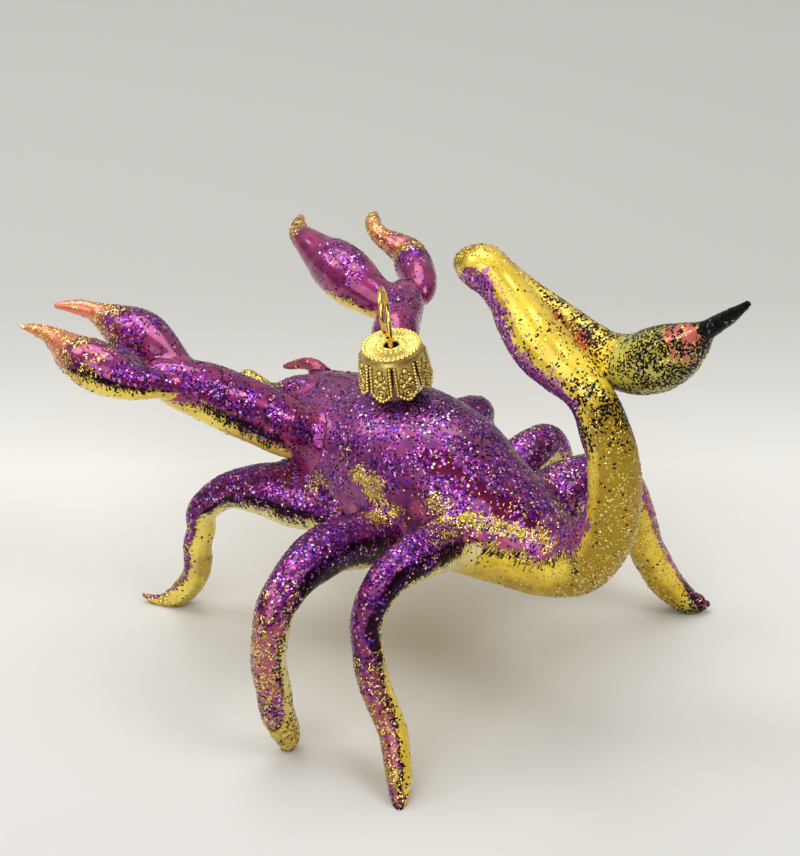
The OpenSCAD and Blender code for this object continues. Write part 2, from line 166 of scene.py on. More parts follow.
limbs = {
    "leg_front_left": [
        (-14.5, -9.5, 28, 5.6), (-19.5, -12, 28.5, 5.6), (-23.5, -14.5, 28.7, 5.6),
        (-27.5, -16.5, 29.4, 5.3), (-31, -18.5, 29.3, 4.5), (-35, -20.5, 28.2, 3.5),
        (-38.3, -22.3, 25.5, 3), (-40.1, -23.7, 22.5, 2.8), (-40.3, -23.7, 19, 2.7),
        (-40.7, -24.5, 15.5, 2.7), (-40.8, -24.5, 12, 2.7), (-41.8, -24.5, 8, 2.5), (-44, -25.3, 4.2, 2.4),
        (-46.2, -26.5, 1.7, 2), (-48.5, -28.5, 1, 1.1), (-51, -30, 1.8, 0.4)],
    "leg_middle_left": [
        (-3.5, -9, 26, 4.8), (-3, -14, 29, 4.8), (-2, -20.5, 31.7, 5), (-1, -27, 34.2, 4.6),
        (0, -33, 35, 4.4), (1.2, -38.5, 34.7, 3.8), (1.8, -42, 33.2, 3.5), (2.3, -44.8, 31.2, 3.3),
        (2.9, -46.4, 27.4, 3.1), (2.8, -47, 22, 3), (2.8, -46, 15.5, 3), (2.4, -45, 10, 2.9),
        (2.3, -43, 4.5, 2.4), (1.5, -42, 0.5, 1.2), (1.5, -41.5, -0.5, 0.5)],
    "leg_rear_left": [
        (11, -8, 31, 4.5), (11.5, -12, 33, 4.5), (12.5, -19, 35, 4.4), (13, -24, 35.5, 3.9),
        (13, -28, 35, 3.4), (13, -31, 33, 3.1), (12.5, -32.5, 30, 2.9), (12.6, -33.5, 27, 2.7),
        (13.1, -33.5, 23, 2.7), (14.1, -34, 19.5, 2.7), (16.1, -34.5, 16, 2.7), (17.9, -34.5, 13, 2.6),
        (20.3, -35, 10, 2.5), (22.7, -36.5, 7, 2.4), (24.6, -38, 4, 2.2), (26.1, -39.5, 1.5, 1.5),
        (27.1, -40.5, -0.2, 0.6)],
    "leg_front_right": [
        (-15, 8, 29, 4.4), (-15, 12, 32, 4.4), (-14.5, 18.5, 34.2, 4.2), (-14.2, 23.6, 34.2, 3.8),
        (-16.5, 27, 31.5, 3.2), (-18, 30, 26, 2.9), (-20, 31.5, 20, 2.8), (-22, 32.5, 14, 2.7),
        (-24.5, 33.5, 8, 2.5), (-27, 34.5, 4, 2.2), (-29, 35.5, 1.5, 1.8), (-31, 36.5, 1, 1.1),
        (-33, 37.5, 2, 0.4)],
    "leg_middle_right": [
        (-3.5, 8, 24, 4.8), (-2, 13, 27.5, 4.8), (-0.5, 19, 29.9, 4.6), (0, 24, 31.6, 4.2),
        (0, 28.5, 31.5, 3.7), (0.5, 31, 28, 3.1), (1, 32.5, 22, 2.8), (1, 33.5, 16, 2.8),
        (0.5, 34.5, 10, 2.6), (0.5, 35.5, 4.5, 2.1), (0.5, 36, 0.5, 1), (0.5, 36.5, -0.5, 0.5)],
    "leg_rear_right": [
        (11.5, 6, 28, 5.6), (12.5, 11, 30, 5.8), (14, 17, 32.1, 5.5), (15, 22.5, 33, 4.4),
        (16.5, 27, 32, 3.6), (18, 30.5, 28.5, 3.3), (19.4, 32.5, 22, 3.3), (20.3, 34, 15.5, 3.4),
        (21.8, 35.5, 11, 3.4), (23.5, 37, 7, 3.2), (25.4, 38.5, 4.4, 2.8), (27.2, 40, 2.4, 2.4),
        (29, 41.5, 2, 1.7), (30, 42.3, 2, 0.6)],
    "arm_left": [
        (-21, -8, 37.5, 5), (-24.5, -11.5, 40.8, 5), (-26.5, -14, 42.3, 5.4), (-30, -17, 44.8, 5.6),
        (-33, -20.5, 47.3, 5.6), (-36.5, -24, 49.9, 5.3), (-39.5, -27.5, 51.8, 4.6), (-42, -30, 53.2, 3.4),
        (-43, -31, 53.7, 2), (-43.4, -31.4, 53.9, 0.6)],
    "arm_right": [
        (-20, 7, 37, 5), (-24, 11, 41.5, 5.1), (-27, 15, 45.5, 4.9), (-30, 18.5, 48, 4.6),
        (-32.5, 22, 48.8, 4.3), (-35, 25.5, 49.2, 4.3), (-37, 28, 49.5, 4), (-38.5, 29.8, 49.8, 2.8),
        (-39.2, 30.6, 50, 1)],
    "finger_outer_left": [
        (-38, -28.5, 52.3, 1.8), (-39.8, -33, 53.7, 2.5), (-42.5, -36.5, 54.6, 3.3), (-46, -38, 55.6, 4.3),
        (-50, -39, 56.6, 4.5), (-53.5, -39.5, 57.1, 3.8), (-57, -39.5, 58, 2.7), (-60, -40, 59, 1.6),
        (-62.5, -41, 59.5, 1.1), (-64.5, -42.5, 60, 0.4)],
    "finger_inner_left": [
        (-40, -26.6, 52.7, 3), (-42.5, -26, 53.5, 3.4), (-47.5, -25.7, 55, 4.4), (-52, -25.5, 56, 4.9),
        (-55.5, -26.2, 56.7, 4.4), (-59, -27, 57.6, 3.1), (-62, -28.2, 58.7, 1.8), (-64.5, -30, 59.4, 1.4),
        (-66.5, -33, 60.1, 0.6)],
    "finger_outer_right": [
        (-35, 31.6, 48.9, 0.8), (-35.4, 32, 49.2, 1.9), (-36.4, 32.8, 49.5, 2.7), (-38, 34.2, 50, 3.2),
        (-39.8, 35.6, 50.5, 3.5), (-43.2, 37.8, 51, 3.8), (-46.7, 39.8, 52, 3.4), (-50.3, 39.7, 53, 2.6),
        (-53.8, 39.7, 53.5, 2), (-56.3, 40.2, 54.4, 1.7), (-58.6, 41.9, 54.7, 1.6), (-60.1, 43.7, 55, 1)],
    "finger_inner_right": [
        (-34.5, 24, 49.5, 2.8), (-38, 24, 49.7, 3.7), (-41.5, 23.5, 50.6, 4.3), (-45, 23.5, 51.5, 5.2),
        (-49, 24, 52.5, 5.5), (-53.5, 24.5, 53.5, 5), (-56.2, 24.5, 54.3, 4), (-59.6, 24.7, 55.4, 3),
        (-63, 25.5, 56, 2.1), (-65.3, 27.3, 56.2, 1.6), (-67.5, 30, 56.5, 0.9)],
    "fang_left": [
        (-28, -3, 40, 3.6), (-31, -3, 42, 3.5), (-34.5, -3.5, 42.4, 2.9), (-38.5, -4, 40.6, 2.2),
        (-42, -4, 40, 1.7), (-45, -4, 40.8, 1.4), (-47.5, -4, 41.2, 1.1), (-49.5, -4, 40.5, 0.5)],
    "fang_right": [
        (-35.2, 5, 38, 1.9), (-36.2, 5, 40.6, 1.5), (-36.5, 5, 42, 1.4), (-37.6, 5, 43.1, 1.3),
        (-39.7, 5, 43.1, 1.2), (-42.7, 5, 42, 1), (-45.3, 5, 40.6, 0.7), (-46.7, 5, 40, 0.4)],
    "curl": [
        (7.5, 1.5, 80.4, 2.7), (6.5, 4.5, 79.1, 2.7), (8.5, 6.2, 76.6, 2.7), (12, 6.9, 74.8, 2.8),
        (16.5, 7.6, 73.1, 2.8), (21, 8, 71.6, 2.9), (25, 8, 70.2, 3.3), (28.5, 8, 69, 4),
        (32.5, 8, 68.9, 4.8), (36.2, 8, 70.1, 5.2), (39.2, 8, 72, 5.4), (42.4, 8, 74.5, 4.8),
        (45.4, 8, 77.4, 3.4), (48, 8, 80.3, 1.7), (50.1, 8, 82.3, 1.4), (52.7, 8, 84.8, 1.1),
        (55.3, 8, 87.6, 0.5)]}

curlParts = {"bulbFrom": (32.5, 8, 68.9), "stingFrom": (48, 8, 80.3)}

# how each kind of limb is drawn: ring spacing, points round, how widely it melts into what it grows from, mm
limbKinds = {
    "leg": {"spacing": 0.55, "around": 48, "join": 3.6, "back": (0, 0, 1)},
    "arm": {"spacing": 0.55, "around": 56, "join": 2.6, "back": (0, 0, 1)},
    "finger": {"spacing": 0.5, "around": 48, "join": 1.0, "back": (0, 0, 1)},
    "fang": {"spacing": 0.4, "around": 32, "join": 2.0, "back": (0, 0, 1)},
    "curl": {"spacing": 0.5, "around": 48, "join": 0.7, "back": (0, 0, -1)}}

# the neck's foot and lean, and the heights at which its skin is measured, mm and degrees
neckSize = {"foot": (-11.8, 0, 50.2), "leanY": -2, "leanX": 8, "radius": 4.6, "join": 1.6,
            "rises": (-4, 2, 9)}

fusing = {
    "overlap": 1.2, "sink": 0.12, "reach": 4.5, "probe": 0.02, "keep": 0.2, "stride": 0.8,    # mm
    "steepest": 0.8, "flattest": 0.2, "rounds": 5, "chunk": 3000}


# distance to the glass, used to melt each root into what carries it

def skinDistance(skin, points):
    # distance from each point to one limb's skin, below 0 inside it
    start, end = skin["axis"][:-1], skin["axis"][1:]
    span = end[:, :3] - start[:, :3]
    length = np.linalg.norm(span, axis=1)
    slope = np.clip((end[:, 3] - start[:, 3]) / length, -fusing["steepest"], fusing["steepest"])
    result = np.empty(len(points))
    for first in range(0, len(points), fusing["chunk"]):
        some = slice(first, first + fusing["chunk"])
        offset = points[some, None] - start[None, :, :3]
        u = (offset * span).sum(2) / length ** 2
        away = np.linalg.norm(offset - u[..., None] * span, axis=2)
        u = np.clip(u + slope * away / np.sqrt(1 - slope ** 2) / length, 0, 1)
        gap = offset - u[..., None] * span
        away = np.linalg.norm(gap, axis=2)
        size = start[:, 3:] + u[..., None] * (end - start)[:, 3:]
        side = gap[..., 1] if skin["flat"] else 0 * away
        rise = np.sqrt(np.maximum(away ** 2 - side ** 2, 0))
        share = np.sqrt((side / size[..., 0]) ** 2 + (rise / size[..., -1]) ** 2)
        result[some] = (away - away / np.maximum(share, tiny)).min(axis=1)
    return result


def softMin(a, b, width):
    near = np.maximum(width - np.abs(a - b), 0) / width
    return np.minimum(a, b) - 0.25 * width * near ** 2


def fusedDistance(points, near):
    # distance to all the glass near each point, with its joints rounded
    total = np.full(len(points), farAway)
    for skin, pick in zip(skins.values(), near):
        if pick.any():
            total[pick] = softMin(total[pick], skinDistance(skin, points[pick]), skin["join"])
    return total


def fuse(name, points):
    # moves a limb's points onto the rounded joints, and tells how deep each lies in other limbs
    f = fusing
    gaps = []
    for skin in skins.values():
        room = skin["axis"][:, 3:].max() + f["reach"]
        low, high = skin["axis"][:, :3].min(0) - room, skin["axis"][:, :3].max(0) + room
        gap = np.full(len(points), farAway)
        pick = ((points > low) & (points < high)).all(axis=1)
        if pick.any():
            gap[pick] = skinDistance(skin, points[pick])
        gaps.append(gap)
    own = list(skins).index(name)
    others = np.min([gap for i, gap in enumerate(gaps) if i != own], axis=0)
    width = max(skin["join"] for skin in skins.values())
    moved = (others < width) & (others > -f["overlap"])
    near = [(gap < f["reach"])[moved] for gap in gaps]
    at = points[moved].copy()
    share = np.clip(-others[moved] / f["overlap"], 0, 1)
    target = -f["sink"] * share * share * (3 - 2 * share) + np.clip(gaps[own][moved], -f["keep"], f["keep"])
    for step in range(f["rounds"]):
        here = fusedDistance(at, near)
        slope = np.empty_like(at)
        for k in range(3):
            ahead = at.copy()
            ahead[:, k] += f["probe"]
            slope[:, k] = (fusedDistance(ahead, near) - here) / f["probe"]
        size = np.maximum((slope ** 2).sum(1), f["flattest"])
        at += np.clip((target - here) / size, -f["stride"], f["stride"])[:, None] * slope
    points[moved] = at
    return points, others


def axisOf(path, every=3):
    rows = np.vstack([path[:-1:every], path[-1:]])
    return rows if rows.shape[1] > 4 else np.column_stack([rows, rows[:, 3]])


liftJoint = next(j for j in frame["joints"] if j["name"] == "cap_lift")
neckAxis = unit(np.array(liftJoint["axis"], float))
neckFoot = np.array(neckSize["foot"]) + sketchMove

shapes = {}
skins = {}
trunkPath = smoothRoute(trunk["route"], trunk["spacing"])
trunkPath[:, :3] += sketchMove
skins["trunk"] = {"axis": axisOf(trunkPath), "join": trunk["join"], "flat": True}
shapes["trunk"] = sweep(roundedTip(trunkPath), (0, 0, 1), trunk["around"])
neckEnds = [np.append(neckFoot + neckAxis * z, [neckSize["radius"]] * 2) for z in neckSize["rises"]]
skins["neck"] = {"axis": np.array(neckEnds), "join": neckSize["join"], "flat": False}
for name, route in limbs.items():
    kind = limbKinds[name.split("_")[0]]
    path = smoothRoute(route, kind["spacing"])
    path[:, :3] += sketchMove
    skins[name] = {"axis": axisOf(path), "join": kind["join"], "flat": False}
    shapes[name] = sweep(roundedTip(path), kind["back"], kind["around"])
for name, shape in shapes.items():
    rings = shape["rings"]
    flat, depth = fuse(name, rings.reshape(-1, 3).copy())
    flat[:, 2] = np.maximum(flat[:, 2], 0)    # the feet stand flat on the floor
    shape["rings"], shape["depth"] = flat.reshape(rings.shape), depth.reshape(rings.shape[:2])
print("glass swept and fused:", sum(s["depth"].size for s in shapes.values()), "points")

# the neck's bore goes on down into the hollow body
well = {"radius": 3.6, "edge": 0.8, "depth": 14.0, "from": -8}    # mm
offset = shapes["trunk"]["rings"] - neckFoot
rise = offset @ neckAxis
out = np.linalg.norm(offset - rise[..., None] * neckAxis, axis=-1)
share = np.clip((well["radius"] + well["edge"] - out) / well["edge"], 0, 1) * (rise > well["from"])
shapes["trunk"]["rings"] -= (share * well["depth"])[..., None] * neckAxis
print("well sunk under the neck")


# what is sprayed and dusted on each piece, along it from 0 at its root to 1 at its tip
# edge: where violet gives way to yellow round the limb, 1 at its back and -1 at its belly
# glint, gold, soot: share of violet, gold and black flakes; rose, cream, ink, inkCoat: share of each lacquer
# dusk: share of the dark band beside the edge, as wide as duskTop, partly the lacquer's own dark band and
# partly painted shade;
# glintBand: where round the limb glint lies
# hem: black flakes along the edge; brown: painted shade, darker on the belly side; foot: from where gold goes
# all round
# goldSide: how much less gold lies on the back than on the belly

paintPlans = {
    "body_shell": {
        "slot": "body_lacquer", "group": "body", "glintBand": (-0.1, 0.55, 2),
        "edge": [(0, -0.75), (0.6, -0.7), (0.68, -0.3), (0.75, 0.05), (0.83, 0.2), (0.9, 0.32), (1, 0.36)],
        "glint": [(0, 0.1), (0.15, 0.16), (0.28, 0.3), (0.38, 0.65), (0.6, 0.8), (0.9, 0.8), (1, 0.6)],
        "gold": [(0, 0), (0.5, 0.01), (0.8, 0.1), (1, 0.3)],
        "soot": [(0, 0.14), (0.15, 0.18), (0.3, 0.14), (0.5, 0.05), (1, 0.03)],
        "brown": [(0, 0.35), (0.7, 0.42), (1, 0.52)],
        "ink": [(0, 0), (0.68, 0.1), (0.76, 1.1), (1, 1.15)]},
    "tail_stem": {
        "slot": "tail_lacquer", "group": "tail", "goldSide": 0.5,
        "edge": [(0, 0.36), (0.07, 0.28), (0.12, 0.3), (0.2, 0.6), (0.35, 0.6), (0.4, 0.4), (0.46, 0.12),
                 (0.53, 0.02), (0.58, -0.25), (0.64, -0.12), (0.71, -0.1), (0.75, -0.25), (0.79, -0.42),
                 (0.83, -0.2), (0.87, -0.55), (0.92, -0.6), (0.95, -0.1), (0.98, 0.6), (1, 1)],
        "glint": [(0, 0.5), (0.2, 0.35), (0.45, 0.4), (0.8, 0.6), (1, 0.4)],
        "gold": [(0, 0.6), (0.2, 0.55), (0.4, 0.35), (0.5, 0.2), (0.7, 0.2), (0.85, 0.12), (0.93, 0.3),
                 (1, 1.0)],
        "soot": [(0, 0.02), (0.2, 0.03), (0.38, 0.05), (0.42, 0.5), (0.45, 1.5), (0.5, 1.4), (0.55, 0.4),
                 (0.6, 0.1), (0.64, 0.2), (0.7, 0.2), (0.75, 0.02), (0.9, 0), (0.95, 0.1), (1, 0.1)],
        "brown": [(0, 0.6), (0.1, 0.9), (0.3, 1.1), (0.4, 0.9), (0.5, 0.5), (0.6, 0.1), (0.9, 0),
                  (0.95, 0.6), (1, 1)],
        "ink": [(0, 1.3), (0.1, 1.0), (0.16, 0.5), (0.24, 0.8), (0.32, 0.2), (0.5, 0.2), (1, 0.2)]},
    "tail_return": {
        "slot": "tail_lacquer", "group": "tail",
        "edge": [(0, 2), (1, 2)],
        "gold": [(0, 0.2), (0.4, 0.4), (0.65, 0.5), (0.85, 0.3), (1, 0.05)],
        "soot": [(0, 0.08), (0.3, 0.3), (0.45, 1.1), (0.7, 1.2), (0.85, 1), (1, 0.9)]},
    "sting_bulb": {
        "slot": "sting_lacquer", "group": "tail",
        "edge": [(0, 2), (1, 2)],
        "gold": [(0, 0.1), (0.3, 0.1), (1, 0.1)],
        "soot": [(0, 0.3), (0.15, 1), (0.6, 1.3), (0.8, 1.4), (1, 2.4)],
        "inkCoat": [(0, 0), (0.9, 0), (1, 0.5)]},
    "sting_tip": {
        "slot": "sting_black", "group": "tail",
        "edge": [(0, 2), (1, 2)],
        "soot": [(0, 3), (1, 3)],
        "inkCoat": [(0, 0.45), (0.06, 0.6), (0.12, 1), (1, 1)]},
    "leg_front_left": {
        "slot": "leg_lacquer", "group": "leftLegs", "foot": 0.9, "glintBand": (-0.2, 0.35, 2),
        "edge": [(0, -0.3), (0.1, -0.15), (0.3, -0.15), (0.4, -0.3), (0.46, -0.36), (0.52, -0.1),
                 (0.61, 0.15), (0.7, 0.4), (0.8, 0.5), (0.88, 0.75), (0.93, 0.9), (0.97, 0.3), (1, -1.3)],
        "glint": [(0, 0.5), (0.06, 0.8), (0.35, 0.95), (0.5, 0.7), (0.6, 0.45), (0.8, 0.35), (1, 0)],
        "gold": [(0, 0.3), (0.06, 0.04), (0.5, 0.02), (0.7, 0.5), (0.85, 0.7), (0.94, 0.8), (1, 0.1)],
        "soot": [(0, 0.05), (0.5, 0.08), (0.6, 0.02), (1, 0.01)],
        "hem": [(0, 0.1), (0.1, 0.2), (0.45, 0.25), (0.55, 0.3), (0.85, 0.25), (0.93, 0)],
        "dusk": [(0, 0.1), (0.08, 0.9), (0.36, 0.95), (0.5, 0.7), (0.62, 0.6), (0.8, 0.5), (0.92, 0)],
        "duskTop": [(0, 0.5), (0.35, 0.6), (0.5, 0.4), (1, 0.4)],
        "brown": [(0.5, 0), (0.62, 0.42), (0.8, 0.6), (1, 0.7)],
        "rose": [(0.88, 0), (0.96, 0.5), (1, 1)],
        "cream": [(0, 0.4), (0.1, 1), (0.4, 0.8), (0.55, 0.5), (1, 0.4)],
        "ink": [(0, 0.3), (0.05, 1.05), (0.42, 1.05), (0.55, 0.8), (0.8, 0.4), (1, 0)]},
    "leg_middle_left": {
        "slot": "leg_lacquer", "group": "leftLegs", "foot": 0.85, "glintBand": (-0.4, 0.6, 2),
        "edge": [(0, -0.5), (0.4, -0.55), (0.52, -0.3), (0.6, 0.3), (0.68, 0.3), (0.75, 0.35), (0.82, 0.5),
                 (0.88, 1.2), (1, 2)],
        "glint": [(0, 0.8), (0.3, 1.1), (0.42, 0.8), (0.52, 0.4), (0.6, 0.08), (0.72, 0.05), (0.77, 0.7),
                  (0.82, 0.3), (0.87, 0)],
        "gold": [(0, 0.2), (0.2, 0.02), (0.45, 0.01), (0.55, 0.35), (0.62, 0.62), (0.74, 0.6), (0.82, 0.6),
                 (0.87, 1.3), (1, 1.3)],
        "soot": [(0, 0.06), (0.5, 0.1), (0.6, 0.1), (0.73, 0.1), (0.78, 0.6), (0.83, 0.25), (0.9, 0.35),
                 (1, 0.3)],
        "hem": [(0, 0.1), (0.3, 0.4), (0.55, 0.6), (0.62, 0.9), (0.8, 0.8), (0.88, 0)],
        "dusk": [(0, 0.2), (0.12, 0.7), (0.22, 1.1), (0.48, 1.1), (0.56, 0.5), (0.82, 0.4), (0.88, 0)],
        "duskTop": [(0, 1), (0.2, 1.2), (0.45, 1.25), (0.56, 0.5), (1, 0.3)],
        "rose": [(0.48, 0), (0.58, 0.7), (0.8, 0.75), (0.86, 0.2), (0.9, 0)],
        "cream": [(0, 0.6), (0.5, 0.8), (0.8, 0.6), (0.88, 0)],
        "ink": [(0, 0.4), (0.3, 0.9), (0.6, 0.6), (0.8, 0.3), (0.88, 0)]},
    "leg_rear_left": {
        "slot": "leg_lacquer", "group": "leftLegs", "foot": 0.97, "glintBand": (-0.3, 0.7, 2),
        "edge": [(0, 0.1), (0.1, 0.05), (0.2, -0.2), (0.35, -0.22), (0.48, -0.2), (0.58, -0.25),
                 (0.67, 0.0), (0.76, 0.18), (0.86, 0.38), (0.94, 0.4), (0.98, -0.5), (1, -0.8)],
        "glint": [(0, 0.7), (0.1, 0.9), (0.3, 1.1), (0.42, 0.5), (0.52, 0.45), (0.6, 0.25), (0.8, 0.1),
                  (1, 0.05)],
        "gold": [(0, 0.3), (0.2, 0.03), (0.5, 0.01), (0.6, 0.5), (0.75, 0.6), (0.84, 0.4), (0.9, 1.1),
                 (0.96, 0.5), (1, 0)],
        "soot": [(0, 0.05), (0.5, 0.1), (0.7, 0.1), (0.94, 0.12), (0.97, 0.7), (1, 0.7)],
        "hem": [(0, 0.1), (0.2, 0.3), (0.5, 0.4), (0.6, 0.8), (0.9, 1.1), (0.97, 0.4), (1, 0.2)],
        "dusk": [(0, 0), (0.1, 0.5), (0.2, 1.1), (0.56, 1.1), (0.64, 0.6), (0.9, 0.7), (1, 0.3)],
        "duskTop": [(0, 0.6), (0.2, 0.95), (0.5, 1.05), (0.6, 0.5), (0.7, 0.3), (1, 0.3)],
        "rose": [(0.5, 0), (0.62, 0.5), (0.8, 0.6), (0.95, 0.6), (1, 0.3)],
        "cream": [(0, 0.2), (0.12, 0.8), (0.5, 0.7), (0.7, 0.4), (1, 0.2)],
        "ink": [(0, 0.3), (0.15, 1.1), (0.45, 1.1), (0.7, 0.6), (0.9, 0.6), (1, 0.4)]},
    "leg_front_right": {
        "slot": "leg_lacquer", "group": "rightLegs",
        "edge": [(0, -0.4), (0.4, -0.3), (0.55, 0.0), (0.75, 0.5), (0.9, 0.9), (1, 1.2)],
        "glint": [(0, 0.35), (0.45, 0.5), (0.65, 0.4), (1, 0.05)],
        "gold": [(0, 0), (0.3, 0.05), (0.7, 0.3), (0.92, 0.7), (1, 0.1)],
        "soot": [(0, 0.12), (1, 0.05)],
        "dusk": [(0, 0.3), (0.15, 0.6), (0.4, 0.6), (0.55, 0.2), (1, 0)],
        "duskTop": [(0, 0.6), (1, 0.5)],
        "rose": [(0.88, 0), (1, 1)],
        "cream": [(0, 0.8), (0.5, 0.5), (1, 0.1)],
        "ink": [(0, 0.3), (0.2, 1), (0.5, 0.8), (1, 0.2)]},
    "leg_middle_right": {
        "slot": "leg_lacquer", "group": "rightLegs",
        "edge": [(0, -0.35), (0.45, -0.15), (0.6, 0.3), (0.8, 0.4), (0.88, 1.2), (1, 2)],
        "glint": [(0, 0.5), (0.45, 0.6), (0.6, 0.4), (1, 0.05)],
        "gold": [(0, 0.02), (0.5, 0.1), (0.7, 0.6), (0.87, 2), (1, 2)],
        "soot": [(0, 0.12), (0.6, 0.1), (1, 0.1)],
        "dusk": [(0, 0.2), (0.2, 0.6), (0.45, 0.6), (0.6, 0.3), (1, 0)],
        "duskTop": [(0, 0.6), (1, 0.4)],
        "rose": [(0.5, 0), (0.65, 0.6), (0.8, 0.5), (0.9, 0)],
        "cream": [(0, 0.8), (0.8, 0.4), (1, 0)],
        "ink": [(0, 0.3), (0.4, 0.9), (0.8, 0.3), (1, 0)]},
    "leg_rear_right": {
        "slot": "leg_lacquer", "group": "rightLegs",
        "edge": [(0, -0.5), (0.2, -0.45), (0.35, -0.15), (0.5, 0.2), (0.65, 0.5), (0.85, 0.65), (0.94, 0.2),
                 (1, -1.2)],
        "glint": [(0, 0.7), (0.2, 0.8), (0.35, 0.7), (0.55, 0.4), (0.9, 0.3), (1, 0.2)],
        "gold": [(0, 0.05), (0.2, 0.1), (0.5, 0.2), (0.8, 0.3), (1, 0.05)],
        "soot": [(0, 0.1), (0.4, 0.03), (0.85, 0.05), (0.93, 1.2), (1, 0.7)],
        "dusk": [(0, 0.3), (0.15, 0.6), (0.3, 0.3), (0.55, 0.1), (0.9, 0), (1, 0.6)],
        "duskTop": [(0, 1.0), (1, 0.5)],
        "brown": [(0.4, 0), (0.6, 0.45), (1, 0.6)],
        "rose": [(0.3, 0), (0.45, 0.6), (0.85, 0.55), (0.93, 0.2), (1, 0.7)],
        "cream": [(0, 0.4), (0.6, 0.1), (1, 0)],
        "ink": [(0, 0.3), (0.4, 0.8), (0.9, 0.2), (1, 0)]},
    "arm_left": {
        "slot": "claw_lacquer", "group": "claws", "glintBand": (0.15, 0.4, 0.75),
        "edge": [(0, -1.3), (0.17, -1.2), (0.22, -0.45), (0.26, -0.15), (0.36, -0.2), (0.52, -0.12),
                 (0.7, -0.1), (0.8, -0.25), (0.9, -0.6), (1, -0.8)],
        "glint": [(0, 0.8), (0.16, 0.9), (0.3, 1.2), (0.7, 1.3), (0.9, 1.2), (1, 1)],
        "soot": [(0, 0.05), (0.25, 0.1), (0.7, 0.12), (0.82, 0.05), (1, 0.05)],
        "hem": [(0.2, 0), (0.28, 0.4), (0.66, 0.45), (0.76, 0.1), (1, 0)],
        "dusk": [(0, 0), (0.22, 0.3), (0.32, 1), (0.64, 1), (0.78, 0.1), (1, 0)],
        "duskTop": [(0, 0.4), (1, 0.45)],
        "ink": [(0, 0), (0.2, 0.3), (0.28, 1.2), (0.68, 1.2), (0.78, 0.3), (1, 0)]},
    "arm_right": {
        "slot": "claw_lacquer", "group": "claws", "glintBand": (0.4, 0.7, 2),
        "edge": [(0, -0.4), (1, -0.5)],
        "glint": [(0, 0.8), (0.4, 0.7), (0.55, 0.25), (0.66, 0.8), (0.78, 0.7), (0.86, 0.1), (1, 0.1)],
        "soot": [(0, 0.06), (1, 0.02)],
        "dusk": [(0, 0.6), (0.5, 0.5), (0.65, 0.1), (1, 0)],
        "duskTop": [(0, 0.4), (1, 0.3)],
        "ink": [(0, 0.5), (0.6, 0.6), (1, 0.3)]},
    "finger_outer_left": {
        "slot": "claw_lacquer", "group": "claws", "glintBand": (0.2, 0.45, 2),
        "edge": [(0, -0.3), (0.15, -0.15), (0.3, -0.1), (0.45, -0.12), (0.55, -0.35), (0.7, -0.7),
                 (1, -1.3)],
        "glint": [(0, 0.9), (0.2, 1), (0.34, 0.8), (0.42, 0.3), (0.55, 0.15), (0.65, 0)],
        "gold": [(0.36, 0), (0.46, 0.3), (0.56, 0.6), (0.66, 0.5), (0.74, 0.3), (0.82, 0.55), (0.94, 0.6),
                 (1, 0.3)],
        "soot": [(0, 0.06), (0.3, 0.1), (0.55, 0.1), (0.65, 0)],
        "hem": [(0.1, 0), (0.2, 0.4), (0.5, 0.4), (0.6, 0)],
        "dusk": [(0, 0.3), (0.18, 1.1), (0.5, 1.1), (0.62, 0)],
        "duskTop": [(0, 0.4), (1, 0.5)],
        "rose": [(0.5, 0), (0.62, 0.5), (0.72, 0.9), (1, 0.9)],
        "ink": [(0, 0.2), (0.2, 1.1), (0.5, 1.1), (0.62, 0)]},
    "finger_inner_left": {
        "slot": "claw_lacquer", "group": "claws", "glintBand": (0.2, 0.5, 2),
        "edge": [(0, -0.6), (0.5, -0.5), (0.7, -0.45), (0.85, -0.8), (1, -1.3)],
        "glint": [(0, 0.1), (0.2, 0.15), (0.28, 0.6), (0.45, 0.9), (0.55, 0.7), (0.64, 0.15), (0.75, 0)],
        "gold": [(0.46, 0), (0.56, 0.4), (0.66, 0.75), (0.74, 0.6), (0.8, 0.25), (0.95, 0.15)],
        "soot": [(0, 0.05), (0.3, 0.12), (0.5, 0.12), (0.64, 0)],
        "dusk": [(0, 0.4), (0.25, 1), (0.5, 0.9), (0.62, 0.1), (1, 0)],
        "duskTop": [(0, 0.7), (0.3, 0.95), (0.6, 0.7), (1, 0.5)],
        "rose": [(0.56, 0), (0.68, 0.5), (0.78, 0.8), (1, 1)],
        "ink": [(0, 0.4), (0.5, 0.8), (0.7, 0.2), (1, 0)]},
    "finger_outer_right": {
        "slot": "claw_lacquer", "group": "claws", "glintBand": (0.0, 0.4, 2),
        "edge": [(0, -0.9), (0.5, -0.9), (1, -1.3)],
        "glint": [(0, 0.05), (0.24, 0.15), (0.3, 0.9), (0.37, 0.9), (0.42, 0.2), (0.48, 0)],
        "gold": [(0.36, 0), (0.41, 1.2), (0.46, 1), (0.52, 0.3), (0.62, 0.3), (0.7, 0.5), (0.78, 0.9),
                 (0.92, 0.6), (1, 0.2)],
        "soot": [(0, 0.03), (0.4, 0.05), (0.5, 0)],
        "dusk": [(0, 0.3), (0.45, 0.4), (0.55, 0.9), (0.68, 0.8), (0.78, 0)],
        "duskTop": [(0, 0.5), (0.5, 0.6), (0.6, 1.3), (1, 1)],
        "rose": [(0.42, 0), (0.52, 0.5), (0.7, 0.5), (0.8, 0.8), (1, 0.95)],
        "ink": [(0, 0), (1, 0)]},
    "finger_inner_right": {
        "slot": "claw_lacquer", "group": "claws", "glintBand": (0.55, 0.8, 2),
        "edge": [(0, -0.15), (0.2, -0.2), (0.36, -0.3), (0.44, -0.7), (0.6, -0.9), (1, -1.3)],
        "glint": [(0, 0.25), (0.12, 0.3), (0.26, 0.4), (0.34, 0.8), (0.46, 0.9), (0.54, 0.3), (0.62, 0)],
        "gold": [(0.74, 0), (0.8, 1), (0.89, 1.5), (0.95, 0.4), (1, 0)],
